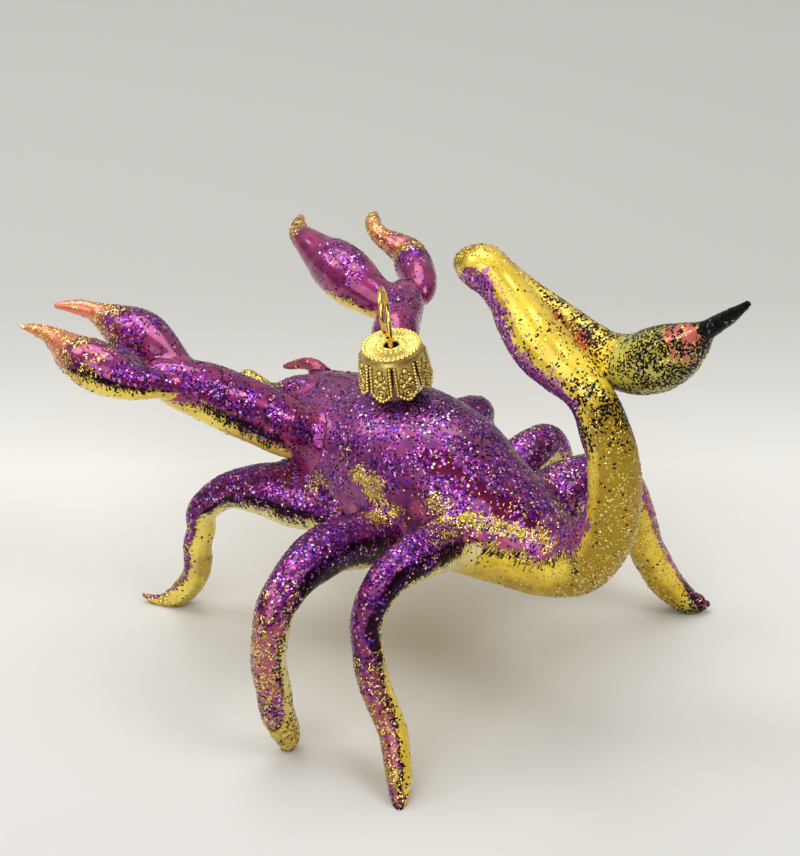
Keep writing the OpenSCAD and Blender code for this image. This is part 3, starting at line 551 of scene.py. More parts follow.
        "hem": [(0.05, 0), (0.14, 0.3), (0.45, 0.3), (0.55, 0)],
        "dusk": [(0, 0.2), (0.3, 0.45), (0.5, 0.4), (0.7, 0)],
        "duskTop": [(0, 0.3), (1, 0.3)],
        "rose": [(0.7, 0), (0.8, 0.5), (0.86, 0.75), (1, 1)],
        "ink": [(0, 0.3), (0.3, 0.9), (0.5, 0.5), (0.7, 0)]},
    "fang_left": {
        "slot": "fang_lacquer", "group": "claws",
        "edge": [(0, -0.4), (0.6, -0.4), (1, -1.3)],
        "glint": [(0, 0.8), (0.4, 0.6), (0.6, 0)],
        "gold": [(0.3, 0.1), (0.5, 0.6), (0.65, 1.2), (1, 1.2)],
        "soot": [(0, 0.3), (0.4, 0.2), (0.6, 0)],
        "rose": [(0.5, 0), (0.8, 0.5), (1, 0.5)]},
    "fang_right": {
        "slot": "fang_lacquer", "group": "claws",
        "edge": [(0, -0.9), (0.5, -0.9), (1, -1.3)],
        "glint": [(0, 0.1), (0.4, 0.05), (1, 0)],
        "gold": [(0.2, 0.05), (0.6, 0.15), (1, 0.05)],
        "dusk": [(0, 0.3), (0.5, 0.5), (1, 0.8)],
        "duskTop": [(0, 1.3), (1, 1.3)],
        "rose": [(0, 0.2), (0.35, 0.5), (0.8, 0.55), (1, 0.4)]}}

# spots that stand out of the sprayed pattern: which pieces, middle and reach in sketch mm, and share,
# which is added to violet, moving its edge, and takes the place of the others
patches = {
    "glint": [
        ("body_shell", (-13, -13.8, 39), (3, 2.5, 4.4), 0.5),
        ("body_shell", (6.6, -7.6, 44.7), (5.4, 2.4, 2.4), 0.22),
        ("body_shell", (16, -6, 41.2), (6, 2, 2.2), 0.25),
        ("body_shell", (7.4, -9.4, 42.2), (3.6, 2, 1.5), 1.3),
        ("body_shell", (13.4, -8.3, 39.9), (3.4, 1.6, 1.3), 1.2),
        ("body_shell", (17.6, -4.2, 41.5), (3.6, 1.2, 1.1), 1),
        ("body_shell", (-3, -9, 46.6), (4, 3, 3), 0.9),
        ("body_shell leg_rear_left leg_middle_left", (4.6, -12.6, 37), (3, 2.6, 2.6), 0.1),
        ("body_shell leg_middle_left leg_front_left", (-9, -15, 32), (4, 3, 3), 0.05),
        ("body_shell", (20.5, -8, 35.4), (6.5, 2.4, 1.2), 0.05),
        ("finger_inner_left", (-49.5, -30.2, 55), (5, 3, 3), 0.7)],
    "gold": [
        ("body_shell", (-12, -13, 42), (2.2, 3, 2), 0.35),
        ("body_shell", (-8.2, -13.7, 39.6), (2.2, 3, 1.8), 2),
        ("body_shell", (-4.6, -13.6, 38.3), (2.6, 3, 2.4), 2.4),
        ("body_shell", (-2.5, -13.6, 36.6), (1.6, 3, 1.6), 1.4),
        ("body_shell", (0.6, -13.4, 35.2), (2.2, 3, 1.6), 1.1),
        ("body_shell", (8, -10.9, 39.5), (3, 2.5, 1.6), 1.2),
        ("body_shell", (15.2, -9, 38), (3.6, 2.5, 1.4), 2.2),
        ("body_shell", (20.5, -6.9, 37.8), (4, 2.2, 1.3), 2.2),
        ("body_shell tail_stem", (26.4, -4.6, 37), (3.6, 2, 1.5), 1.4),
        ("leg_rear_left", (12.1, -13.6, 38.5), (3.2, 3.2, 2.5), 1.4),
        ("leg_rear_left", (14, -17, 38), (3, 3, 2), 0.6),
        ("leg_middle_left", (-1.1, -16.8, 35.6), (2.6, 3, 2.6), 1.3),
        ("body_shell leg_front_left", (-17.5, -14.5, 33.8), (2.6, 3, 2.4), 0.8),
        ("leg_rear_right", (17.9, 15.5, 31.5), (2, 2, 1.4), 0.8)],
    "deep": [
        ("body_shell", (5.2, -8, 45.1), (4.4, 2.4, 2.4), 1.4),
        ("body_shell", (11, -6.8, 43), (5, 2.6, 2.6), 1.4),
        ("body_shell", (18.4, -5, 40.4), (5, 2.2, 2.6), 1.3),
        ("body_shell", (23.4, -3.4, 38.7), (3, 1.8, 2.2), 0.9),
        # painted shade in the crotch between the left fingers
        ("finger_inner_left", (-49.5, -30.2, 55), (5, 3.4, 3.4), 0.4),
        ("leg_middle_left", (2.2, -43.5, 1.5), (4, 4, 3.4), 0.8),
        # painted shade along the crease where the return lies against the stem
        ("tail_return", (22, 5.3, 72.6), (8, 2, 2), 1.1)],
    "rose": [
        ("body_shell leg_rear_left", (16.2, -10.4, 35.6), (2.6, 2.5, 1.2), 0.8),
        ("body_shell", (21, -7.8, 35.4), (3.4, 2, 1.1), 0.8),
        ("body_shell tail_stem", (26.5, -5.9, 35.8), (3.4, 2, 1.1), 0.7),
        ("body_shell leg_middle_left leg_front_left", (-9, -15, 32), (3.2, 3, 2.2), 0.6),
        ("body_shell leg_rear_left leg_middle_left", (4.6, -12.6, 37), (3, 2.6, 2.6), 0.65),
        ("leg_rear_right", (17.9, 14.6, 33), (2.5, 2.5, 2), 0.8),
        ("tail_return", (24.6, 5.2, 71.8), (4, 2, 1.7), 0.85),
        ("tail_return", (18.6, 5.6, 73.8), (3, 1.8, 1.5), 0.7),
        ("sting_bulb sting_tip", (45, 6, 79.4), (5.2, 3.4, 2.4), 1),
        ("sting_bulb", (45.6, 5.2, 76.8), (2.6, 3, 2.8), 0.6),
        ("sting_bulb", (47.6, 6.6, 74.8), (1.6, 2, 1.8), 0.6)],
    "cream": [
        # a painted highlight: the pale cream patch at the rear left leg's root
        ("body_shell leg_rear_left", (16.5, -11.4, 33.4), (2, 2.4, 2.2), 1.3)],
    "violet": [
        # clears the violet for the painted highlight at the rear left leg's root
        ("body_shell leg_rear_left", (16.4, -11.2, 33.7), (2, 1.8, 1.5), -0.7),
        ("fang_left", (-31.6, -4.8, 45.3), (2.8, 2.2, 1.8), -1.2),
        ("tail_stem", (35.6, 0.5, 67), (2.2, 2.2, 2.2), 0.7),
        ("tail_stem", (26, -2.6, 73.3), (1.1, 1.1, 1.1), 0.5),
        ("tail_stem", (40.4, 1, 60.2), (1.6, 1.6, 1.6), 0.8),
        ("tail_stem", (41.5, -1, 55.5), (1.3, 1.3, 1.3), 0.7),
        ("tail_stem", (41.2, -2.6, 43), (1.2, 1.2, 1.2), 0.6),
        ("tail_stem", (35, -5.4, 34.5), (1.1, 1.1, 1.1), 0.6)],
    "soot": [
        ("body_shell leg_rear_left", (20, -8.4, 35.4), (6.5, 3, 1.2), 0),
        ("finger_inner_left", (-49.5, -30.2, 55), (5, 3, 3), 0.5),
        ("sting_bulb sting_tip", (45.6, 6, 79.4), (4.4, 3, 2.4), 1.1),
        ("sting_bulb", (46.6, 5.4, 75.5), (2, 3, 2.4), 2.2),
        ("body_shell", (-8, 1, 49.8), (12, 7, 4), 0.9),
        ("body_shell", (5, 0, 47), (8, 4, 3.4), 0.5)]}

# how each effect fades, as start, slope and least share: with the distance from the violet edge,
# or for brown with the height round the limb, and for a patch with the distance from its middle
fades = {"rose": (0.3, 3, 0), "glint": (0.2, 3, 0), "gold": (0.4, 2, 0.12), "hem": (1.2, -4, 0),
         "brown": (0.5, -1.2, 0), "patch": (1.6, -1.3, 0)}
spraying = {
    "duskFrom": (0.15, 0.3), "soft": 0.3, "glintBelow": 0.2, "glintAbove": 0.12, "glintLost": 0.4,
    "allRound": (-2, -1, 2), "hemAt": 0.08, "duskSoot": 0.4, "goldSlope": 1.4, "goldLeast": 0.1,
    "strokeLean": 0.5, "strokeWide": 0.12}


def track(plan, key, t):
    steps = plan.get(key, [(0, 0.0)])
    return np.interp(t, [s[0] for s in steps], [s[1] for s in steps])


def fade(value, key):
    start, slope, least = fades[key]
    return np.clip(start + slope * value, least, 1)


def ringNormals(rings):
    along = np.gradient(rings, axis=0)
    across = np.roll(rings, -1, axis=1) - np.roll(rings, 1, axis=1)
    return unit(np.cross(across, along))


def ringAt(shapeName, place):
    centres = shapes[shapeName]["rings"].mean(axis=1)
    return int(np.argmin(np.linalg.norm(centres - np.array(place) - sketchMove, axis=1)))


bodyLast = ringAt("trunk", trunk["bodyEnd"])
bulbFirst = ringAt("curl", curlParts["bulbFrom"])
stingFirst = ringAt("curl", curlParts["stingFrom"])
stretches = {
    "body_shell": ("trunk", 0, bodyLast), "tail_stem": ("trunk", bodyLast, None),
    "tail_return": ("curl", 0, bulbFirst), "sting_bulb": ("curl", bulbFirst, stingFirst),
    "sting_tip": ("curl", stingFirst, None)}


def sprayedOn(name, plan, rings, t, back, depth):
    # share of each lacquer and of each kind of flake at every point of a piece
    s = spraying
    violet = back - track(plan, "edge", t)
    # the dark band (dusk) is partly the lacquer's own and partly painted shade
    slope, start = s["duskFrom"]
    band = np.clip(violet / slope + start, 0, 1)    # a soft band on the violet side of the edge
    band *= np.clip((track(plan, "duskTop", t) - violet) / s["soft"], 0, 1)
    dusk = track(plan, "dusk", t) * band
    # brown adds painted shade on the belly side to the dark band
    values = {"violet": violet, "deep": dusk + track(plan, "brown", t) * fade(back, "brown")}
    for key in ("rose", "cream", "ink", "inkCoat", "gold", "soot"):
        values[key] = track(plan, key, t)
    values["rose"] *= fade(violet, "rose")
    low, full, high = plan.get("glintBand", s["allRound"])
    swath = np.clip((back - low) / (full - low), s["glintBelow"], 1)
    swath *= np.clip((high + s["soft"] - back) / s["soft"], s["glintAbove"], 1)
    bare = 1 - s["glintLost"] * np.clip(dusk, 0, 1)
    values["glint"] = track(plan, "glint", t) * swath * bare * fade(violet, "glint")
    hem = track(plan, "hem", t) * fade(np.abs(violet - s["hemAt"]), "hem")
    values["soot"] = values["soot"] + s["duskSoot"] * dusk + hem
    values["gold"] *= np.clip(1 - plan.get("goldSide", 0) * (1 + s["goldSlope"] * back), s["goldLeast"], 1)
    values["gold"] *= np.where(t < plan.get("foot", 0), fade(violet, "gold"), 1)
    for what, spots in patches.items():
        for pieces, place, size, share in spots:
            if name in pieces.split():
                near = fade(np.linalg.norm((rings - np.array(place) - sketchMove) / size, axis=-1), "patch")
                under = values[what] if what == "violet" else values[what] * (1 - near)
                values[what] = under + share * near
    for key in ("glint", "gold", "soot"):    # no flakes where the piece is sunk in another
        values[key] = values[key] * np.clip((depth + s["soft"]) / s["soft"], 0, 1)
    return values


def glassPiece(name, plan):
    # one closed piece of glass, with what is sprayed on it kept at its points
    shapeName, first, last = stretches.get(name, (name, 0, None))
    shape = shapes[shapeName]
    last = len(shape["rings"]) - 1 if last is None else last
    rings = shape["rings"][first:last + 1]
    count, around = rings.shape[:2]
    points = np.vstack([rings.reshape(-1, 3), rings[:1].mean(axis=1), rings[-1:].mean(axis=1)])
    piece = addMesh(name.replace("_", "."), points, ringFaces(count, around), endFans(count, around))
    mesh = piece.data
    run = shape["run"][first:last + 1]
    t = ((run - run[0]) / (run[-1] - run[0]))[:, None] * np.ones(around)
    back = np.cos(shape["angle"]) * np.ones((count, 1))
    flank = np.sin(shape["angle"]) * np.ones((count, 1))
    for key, value in sprayedOn(name, plan, rings, t, back, shape["depth"][first:last + 1]).items():
        setValues(mesh, key, np.append(value.reshape(-1), [value[0].mean(), value[-1].mean()]))
    # where each point lies along and round the limb, for brush strokes that follow it
    girth = np.linalg.norm(rings - rings.mean(axis=1, keepdims=True), axis=2).mean(axis=1)[:, None]
    wide = spraying["strokeWide"] * girth
    lie = np.stack([run[:, None] - spraying["strokeLean"] * girth * back, wide * back, wide * flank], axis=-1)
    lie = lie.reshape(-1, 3)
    strokes = mesh.attributes.new("brush", "FLOAT_VECTOR", "POINT")
    strokes.data.foreach_set("vector", np.vstack([lie, lie[:1], lie[-1:]]).astype(np.float32).reshape(-1))
    corner = np.zeros(len(mesh.loops), np.int32)
    mesh.loops.foreach_get("vertex_index", corner)
    outwards = ringNormals(shape["rings"])[first:last + 1].reshape(-1, 3)
    normals = np.vstack([outwards, np.zeros((2, 3))])[corner]
    normals[4 * (count - 1) * around:] = 0    # the hidden end faces keep their own
    mesh.normals_split_custom_set(normals.tolist())
    return piece


glass = {name: glassPiece(name, plan) for name, plan in paintPlans.items()}
print("glass pieces:", len(glass))


# shader helpers

def paint(*tone):
    # a colour as a screen shows it, 0 to 255, in the linear values that shaders take
    linear = [((c / 255 + 0.055) / 1.055) ** 2.4 if c > 10 else c / 255 / 12.92 for c in tone]
    return (*linear, 1.0)


def put(tree, kind, inputs=None, **settings):
    node = tree.nodes.new(kind)
    for key, value in settings.items():
        setattr(node, key, value)
    for key, value in (inputs or {}).items():
        if isinstance(value, bpy.types.NodeSocket):
            tree.links.new(value, node.inputs[key])
        else:
            node.inputs[key].default_value = value
    return node


def calc(tree, how, *values, clamp=False):
    return put(tree, "ShaderNodeMath", dict(enumerate(values)), operation=how, use_clamp=clamp).outputs[0]


def vector(tree, how, first, second, output=0):
    return put(tree, "ShaderNodeVectorMath", {0: first, 1: second}, operation=how).outputs[output]


def jitter(tree, value, noise, amount):
    return calc(tree, "ADD", value, calc(tree, "MULTIPLY_ADD", noise, amount, -0.5 * amount))


def layer(tree, share, under, over):
    return put(tree, "ShaderNodeMix", {0: share, 6: under, 7: over}, data_type="RGBA").outputs[2]


def ease(tree, value, low, high):
    return put(tree, "ShaderNodeMapRange", {"Value": value, "From Min": low, "From Max": high},
               interpolation_type="SMOOTHSTEP").outputs["Result"]


def objectPlace(tree):
    return put(tree, "ShaderNodeTexCoord").outputs["Object"]


def mottle(tree, at, scale, detail=2.0):
    return put(tree, "ShaderNodeTexNoise", {"Vector": at, "Scale": scale, "Detail": detail}).outputs["Fac"]


def kept(tree, name):
    return put(tree, "ShaderNodeAttribute", attribute_name=name).outputs["Fac"]


def toneRamp(tree, value, tones):
    ramp = put(tree, "ShaderNodeValToRGB", {"Fac": value})
    for stop, tone in tones[1:-1]:
        ramp.color_ramp.elements.new(stop)
    for element, (stop, tone) in zip(ramp.color_ramp.elements, tones):
        element.position, element.color = stop, paint(*tone)
    return ramp.outputs["Color"]


def newGroup(name, inputs, outputs):
    tree = bpy.data.node_groups.new(name, "ShaderNodeTree")
    for label, kind, value in inputs:
        socket = tree.interface.new_socket(label, in_out="INPUT", socket_type="NodeSocket" + kind)
        socket.default_value = value
    for label, kind in outputs:
        tree.interface.new_socket(label, in_out="OUTPUT", socket_type="NodeSocket" + kind)
    return tree, tree.nodes.new("NodeGroupInput").outputs, tree.nodes.new("NodeGroupOutput").inputs


def newMaterial(name, constants):
    material = bpy.data.materials.new(name)
    material.use_nodes = True
    tree = material.node_tree
    shader = tree.nodes["Principled BSDF"]
    for key, value in constants.items():
        shader.inputs[key].default_value = value
    return material, tree, shader


def mottledRough(tree, shader, at, scale, spread, least):
    rough = calc(tree, "MULTIPLY_ADD", mottle(tree, at, scale), spread, least)
    tree.links.new(rough, shader.inputs["Roughness"])


# sprayed lacquer over silvered glass: yellow below, violet above, brushed black where they meet
# Maroon is the dark band and maroon spots, partly painted shade
plainTones = {
    "Yellow": (254, 226, 78), "Yellow shade": (230, 194, 56), "Cream": (238, 226, 150),
    "Violet": (132, 46, 122), "Magenta": (168, 52, 118), "Maroon": (54, 8, 40), "Rose": (206, 112, 118),
    # the ochre tone is painted shade laid on the yellow
    "Ink": (16, 14, 14), "Shade ochre": (146, 112, 34)}
plainValues = {"Speck scale": 1900.0, "Dust": 0.5, "Rough": 0.2, "Shine": 0.6, "Ragged": 1.3}
# the fine dust's tones: violet, magenta and blue, near-black ones as painted shade and the palest as painted
# glints
dustTones = [(0, (22, 4, 34)), (0.3, (84, 20, 96)), (0.5, (130, 36, 130)), (0.7, (64, 44, 150)),
             (0.86, (178, 62, 168)), (1, (226, 170, 232))]
giltTones = [(0, (92, 70, 14)), (0.35, (182, 148, 40)), (0.7, (238, 202, 78)), (1, (255, 244, 178))]
mottling = {"broad": 130, "spray": 430, "grain": 1900, "hairs": 3.8, "wander": (0.35, 0.6, 0.45)}
# where each coat begins and is full, and how much each kind of mottling shifts that
coats = {
    "edge": (-0.08, 0.14), "dusk": (0.3, 0.7, 0.4, 0.4), "shade": (0.3, 0.7), "cream": (0.2, 0.9, 0.5),
    "magenta": (0.35, 0.65), "rose": (0.25, 0.75, 0.9, 0.5), "ink": (0.82, 0.87), "inkCoat": (0.4, 0.6, 0.5),
    "dust": (0.5, 0.6, 1.0), "gold": (0.85, 1.15, 0.9, 0.8)}
coating = {
    "shadeOchre": 0.8, "inkAt": 0.08, "inkSlope": 3.0, "inkPull": 0.36, "dustSpray": 0.6, "specks": 0.85,
    "silver": (0.2, 0.28), "grainRough": 0.12, "speckRough": 0.1, "speckMatt": 0.8, "speckTilt": 0.75}


def coat(tree, key, value, *noises):
    # how much of one coat lies at each place
    begin, full, *amounts = coats[key]
    for noise, amount in zip(noises, amounts):
        value = jitter(tree, value, noise, amount)
    return ease(tree, value, begin, full)


def sprayedLacquer():
    tree, give, take = newGroup(
        "sprayedLacquer",
        [(label, "Color", paint(*tone)) for label, tone in plainTones.items()]
        + [(label, "Float", value) for label, value in plainValues.items()],
        [("Color", "Color"), ("Metal", "Float"), ("Roughness", "Float"), ("Gloss", "Float"),
         ("Normal", "Vector")])
    at = objectPlace(tree)
    brushAt = put(tree, "ShaderNodeAttribute", attribute_name="brush").outputs["Vector"]
    broad, spray = mottle(tree, at, mottling["broad"]), mottle(tree, at, mottling["spray"], 3)
    grain, hairs = mottle(tree, at, mottling["grain"]), mottle(tree, brushAt, mottling["hairs"])
    wander = 0.0
    for noise, amount in zip((broad, spray, grain), mottling["wander"]):
        wander = jitter(tree, wander, noise, amount)
    border = calc(tree, "MULTIPLY_ADD", wander, give["Ragged"], kept(tree, "violet"))
    over = coat(tree, "edge", border)
    # deep: the dark band and spots, partly the lacquer's own and partly painted shade, with painted shade on
    # the belly side
    deep = coat(tree, "dusk", kept(tree, "deep"), broad, spray)
    below = layer(tree, coat(tree, "shade", broad), give["Yellow"], give["Yellow shade"])
    below = layer(tree, coat(tree, "cream", kept(tree, "cream"), spray), below, give["Cream"])
    # painted shade: the yellow darkened towards ochre by the deep share
    below = layer(tree, calc(tree, "MULTIPLY", deep, coating["shadeOchre"]), below, give["Shade ochre"])
    above = layer(tree, coat(tree, "magenta", spray), give["Violet"], give["Magenta"])
    # the violet darkened to maroon: the dark band, partly painted shade
    above = layer(tree, deep, above, give["Maroon"])
    tone = layer(tree, over, below, above)
    tone = layer(tree, coat(tree, "rose", kept(tree, "rose"), spray, grain), tone, give["Rose"])
    aside = calc(tree, "ABSOLUTE", calc(tree, "ADD", border, coating["inkAt"]))
    meeting = calc(tree, "SUBTRACT", 1.0, calc(tree, "MULTIPLY", aside, coating["inkSlope"]), clamp=True)
    brushed = calc(tree, "MULTIPLY", meeting, kept(tree, "ink"))
    brushed = coat(tree, "ink", calc(tree, "MULTIPLY_ADD", brushed, coating["inkPull"], hairs))
    black = calc(tree, "MAXIMUM", brushed, coat(tree, "inkCoat", kept(tree, "inkCoat"), spray))
    tone = layer(tree, black, tone, give["Ink"])
    # fine glitter dust between the real flakes
    specks = put(tree, "ShaderNodeTexVoronoi", {"Vector": at, "Scale": give["Speck scale"]}).outputs["Color"]
    tint, second, third = put(tree, "ShaderNodeSeparateColor", {"Color": specks}).outputs
    dusty = jitter(tree, kept(tree, "glint"), spray, coating["dustSpray"])
    dusty = coat(tree, "dust", calc(tree, "MULTIPLY", dusty, give["Dust"]), third)
    gilded = coat(tree, "gold", kept(tree, "gold"), spray, second)
    dusting, gilding = (calc(tree, "MULTIPLY", share, coating["specks"]) for share in (dusty, gilded))
    tone = layer(tree, dusting, tone, toneRamp(tree, tint, dustTones))
    tone = layer(tree, gilding, tone, toneRamp(tree, tint, giltTones))
    tree.links.new(tone, take["Color"])
    strewn = calc(tree, "MAXIMUM", dusty, gilded)
    silvered = calc(tree, "MULTIPLY_ADD", over, *coating["silver"])
    tree.links.new(calc(tree, "MAXIMUM", silvered, gilding), take["Metal"])
    rough = calc(tree, "MULTIPLY_ADD", grain, coating["grainRough"], give["Rough"])
    tree.links.new(calc(tree, "MULTIPLY_ADD", strewn, coating["speckRough"], rough), take["Roughness"])
    matt = calc(tree, "MAXIMUM", calc(tree, "MULTIPLY", strewn, coating["speckMatt"]), black)
    bare = calc(tree, "SUBTRACT", 1.0, calc(tree, "MAXIMUM", matt, deep))
    tree.links.new(calc(tree, "MULTIPLY", bare, give["Shine"]), take["Gloss"])
    tilt = put(tree, "ShaderNodeVectorMath",
               {0: vector(tree, "SUBTRACT", specks, (0.5, 0.5, 0.5)),
                "Scale": calc(tree, "MULTIPLY", strewn, coating["speckTilt"])}, operation="SCALE").outputs[0]
    facing = vector(tree, "ADD", put(tree, "ShaderNodeNewGeometry").outputs["Normal"], tilt)
    facing = put(tree, "ShaderNodeVectorMath", {0: facing}, operation="NORMALIZE").outputs[0]
    tree.links.new(facing, take["Normal"])
    return tree


lacquers = {
    "body_lacquer": {
        "Violet": (112, 50, 114), "Magenta": (152, 66, 120), "Maroon": (94, 9, 52), "Rose": (196, 92, 126),
        "Dust": 0.3, "Rough": 0.3, "Shine": 0.5, "Ragged": 1.0},
    "leg_lacquer": {
        "Violet": (86, 20, 80), "Magenta": (134, 42, 98), "Maroon": (34, 3, 28), "Rose": (176, 86, 114),
        "Dust": 0.4, "Shine": 0.5},
    "claw_lacquer": {
        "Violet": (122, 30, 90), "Magenta": (162, 48, 106), "Maroon": (34, 4, 26), "Rose": (228, 128, 104),
        "Dust": 0.3, "Shine": 0.95},
    "fang_lacquer": {
        "Yellow": (150, 142, 116), "Yellow shade": (120, 104, 92), "Violet": (124, 54, 108),
        "Magenta": (154, 66, 112), "Rose": (186, 80, 84), "Dust": 0.3, "Rough": 0.35, "Shine": 0.25},
    "tail_lacquer": {
        "Violet": (138, 72, 146), "Magenta": (172, 86, 146), "Rose": (208, 86, 88),
        "Dust": 0.3, "Shine": 0.8, "Ragged": 2.6},
    "sting_lacquer": {"Yellow": (200, 192, 90), "Yellow shade": (176, 162, 66), "Rose": (206, 108, 94)},
    "sting_black": {"Rose": (222, 110, 100), "Ink": (28, 26, 24), "Rough": 0.4}}
lacquerLinks = {"Color": "Base Color", "Metal": "Metallic", "Roughness": "Roughness", "Gloss": "Coat Weight",
                "Normal": "Normal"}

lacquer = sprayedLacquer()
finishes = {}
for slot, values in lacquers.items():
    material, tree, shader = newMaterial(slot, {"Coat Roughness": 0.04, "Specular IOR Level": 0.15})
    sprayed = put(tree, "ShaderNodeGroup", node_tree=lacquer)
    for key, value in values.items():
        sprayed.inputs[key].default_value = paint(*value) if key in plainTones else value
    for given, taken in lacquerLinks.items():
        tree.links.new(sprayed.outputs[given], shader.inputs[taken])
    finishes[slot] = material
for name, piece in glass.items():
    piece.data.materials.append(finishes[paintPlans[name]["slot"]])
print("lacquers mixed:", len(finishes))


# loose glitter: small six-sided flakes strewn where a piece says

flakeKinds = {
    "glint": {
        "density": 8.0, "radius": 0.3, "slender": 0.9, "tilt": 0.22, "seed": 3,
        "clump": 300.0, "gather": (0.4, 0.58), "metal": 0.85, "shine": 0.5,
        # tones: the glitter's violet, magenta and blue, with near-black ones as painted shade and near-white
        # ones as painted glints
        "tones": [(0, (14, 3, 26)), (0.34, (50, 10, 80)), (0.52, (98, 28, 138)), (0.66, (182, 58, 172)),
                  (0.78, (64, 54, 196)), (0.88, (200, 84, 204)), (0.97, (232, 160, 232)),
                  (1, (252, 240, 252))]},
    "gold": {
        "density": 13.0, "radius": 0.33, "slender": 0.42, "tilt": 0.45, "seed": 11,
        "clump": 520.0, "gather": (0.42, 0.54), "metal": 0.92, "shine": 0.5,
        "tones": [(0, (140, 104, 26)), (0.3, (208, 172, 62)), (0.75, (246, 216, 98)), (1, (255, 246, 176))]},
    "soot": {
        "density": 6.0, "radius": 0.36, "slender": 0.6, "tilt": 0.22, "seed": 23,
        "clump": 420.0, "gather": (0.36, 0.58), "metal": 0.5, "shine": 0.15,
        # tones: black, with a few pale grey ones as painted glints
        "tones": [(0, (5, 5, 6)), (0.8, (14, 12, 16)), (0.95, (36, 34, 38)), (1, (150, 148, 146))]}}
flakeCut = {"sides": 6, "thickness": 0.05, "smallest": 0.75, "largest": 1.15, "spin": 6.28,    # mm, radians
            "roughScale": 900, "roughSpread": 0.25, "roughLeast": 0.06}


def flakeMaterial(kind, values):
    constants = {"Metallic": values["metal"], "Specular IOR Level": values["shine"]}
    material, tree, shader = newMaterial("flake_" + kind, constants)
    tree.links.new(toneRamp(tree, kept(tree, "tint"), values["tones"]), shader.inputs["Base Color"])
    mottledRough(tree, shader, objectPlace(tree), flakeCut["roughScale"], flakeCut["roughSpread"],
                 flakeCut["roughLeast"])
    return material


def flakeTree():
    tree = bpy.data.node_groups.new("strewnFlakes", "GeometryNodeTree")
    sockets = [("Geometry", "Geometry"), ("Share", "String"), ("Density", "Float"), ("Radius", "Float"),
               ("Slender", "Float"), ("Thickness", "Float"), ("Tilt", "Float"), ("Clump scale", "Float"),
               ("Gather from", "Float"), ("Gather to", "Float"), ("Seed", "Int"), ("Finish", "Material")]
    for label, kind in sockets:
        tree.interface.new_socket(label, in_out="INPUT", socket_type="NodeSocket" + kind)
    tree.interface.new_socket("Geometry", in_out="OUTPUT", socket_type="NodeSocketGeometry")
    give = tree.nodes.new("NodeGroupInput").outputs
    share = put(tree, "GeometryNodeInputNamedAttribute", {"Name": give["Share"]}).outputs["Attribute"]
    place = tree.nodes.new("GeometryNodeInputPosition").outputs[0]
    clumps = put(tree, "ShaderNodeMapRange", {
        "Value": mottle(tree, place, give["Clump scale"]), "From Min": give["Gather from"],
        "From Max": give["Gather to"]}).outputs["Result"]
    wanted = calc(tree, "MULTIPLY", calc(tree, "MULTIPLY", share, clumps), give["Density"])
    strewn = put(tree, "GeometryNodeDistributePointsOnFaces",
                 {"Mesh": give["Geometry"], "Density": wanted, "Seed": give["Seed"]})
    tint = put(tree, "FunctionNodeRandomValue", {"Seed": give["Seed"]}).outputs[1]
    marked = put(tree, "GeometryNodeStoreNamedAttribute",
                 {"Geometry": strewn.outputs["Points"], "Name": "tint", "Value": tint})
    # each flake leans a little and lies turned any way
    up, down = give["Tilt"], calc(tree, "MULTIPLY", give["Tilt"], -1.0)
    low = put(tree, "ShaderNodeCombineXYZ", {0: down, 1: down, 2: 0.0}).outputs[0]
    high = put(tree, "ShaderNodeCombineXYZ", {0: up, 1: up, 2: flakeCut["spin"]}).outputs[0]
    lean = put(tree, "FunctionNodeRandomValue", {0: low, 1: high, "Seed": give["Seed"]},
               data_type="FLOAT_VECTOR").outputs[0]
    turned = put(tree, "FunctionNodeRotateRotation",
                 {"Rotation": strewn.outputs["Rotation"], "Rotate By": lean}, rotation_space="LOCAL")
    size = put(tree, "FunctionNodeRandomValue",
               {2: flakeCut["smallest"], 3: flakeCut["largest"], "Seed": give["Seed"]}).outputs[1]
    flake = put(tree, "GeometryNodeMeshCone", {
        "Vertices": flakeCut["sides"], "Radius Top": 0.0, "Radius Bottom": give["Radius"],
        "Depth": give["Thickness"]})
    narrow = calc(tree, "MULTIPLY", size, give["Slender"])
    shaped = put(tree, "ShaderNodeCombineXYZ", {0: size, 1: narrow, 2: 1.0})
    laid = put(tree, "GeometryNodeInstanceOnPoints",
               {"Points": marked.outputs[0], "Instance": flake.outputs["Mesh"],
                "Rotation": turned.outputs[0], "Scale": shaped.outputs[0]})
    whole = put(tree, "GeometryNodeRealizeInstances", {"Geometry": laid.outputs[0]})
    done = put(tree, "GeometryNodeSetMaterial", {"Geometry": whole.outputs[0], "Material": give["Finish"]})
    put(tree, "NodeGroupOutput", {0: done.outputs[0]})
    return tree


def settle(carrier, name):
    # turns what the carrier's nodes make into a plain mesh piece of its own
    graph = bpy.context.evaluated_depsgraph_get()
    mesh = bpy.data.meshes.new_from_object(carrier.evaluated_get(graph), depsgraph=graph)
    mesh.name = name
    piece = bring(name, mesh)
    bpy.data.objects.remove(carrier)
    return piece


def carrierOf(names):
    # the outsides of some glass pieces in one mesh, with their shares of flakes
    points, faces, shares, start = [], [], {kind: [] for kind in flakeKinds}, 0
    for name in names:
        mesh = glass[name].data
        co = np.zeros(len(mesh.vertices) * 3)
        mesh.vertices.foreach_get("co", co)
        points.append(co.reshape(-1, 3) / mm)
        faces.append(np.array([p.vertices for p in mesh.polygons if len(p.vertices) == 4]) + start)
        for kind in flakeKinds:
            value = np.zeros(len(mesh.vertices), np.float32)
            mesh.attributes[kind].data.foreach_get("value", value)
            shares[kind].append(value)
        start += len(mesh.vertices)
    carrier = addMesh("carrier", np.vstack(points), np.vstack(faces))
    for kind, values in shares.items():
        setValues(carrier.data, kind, np.concatenate(values))
    return carrier


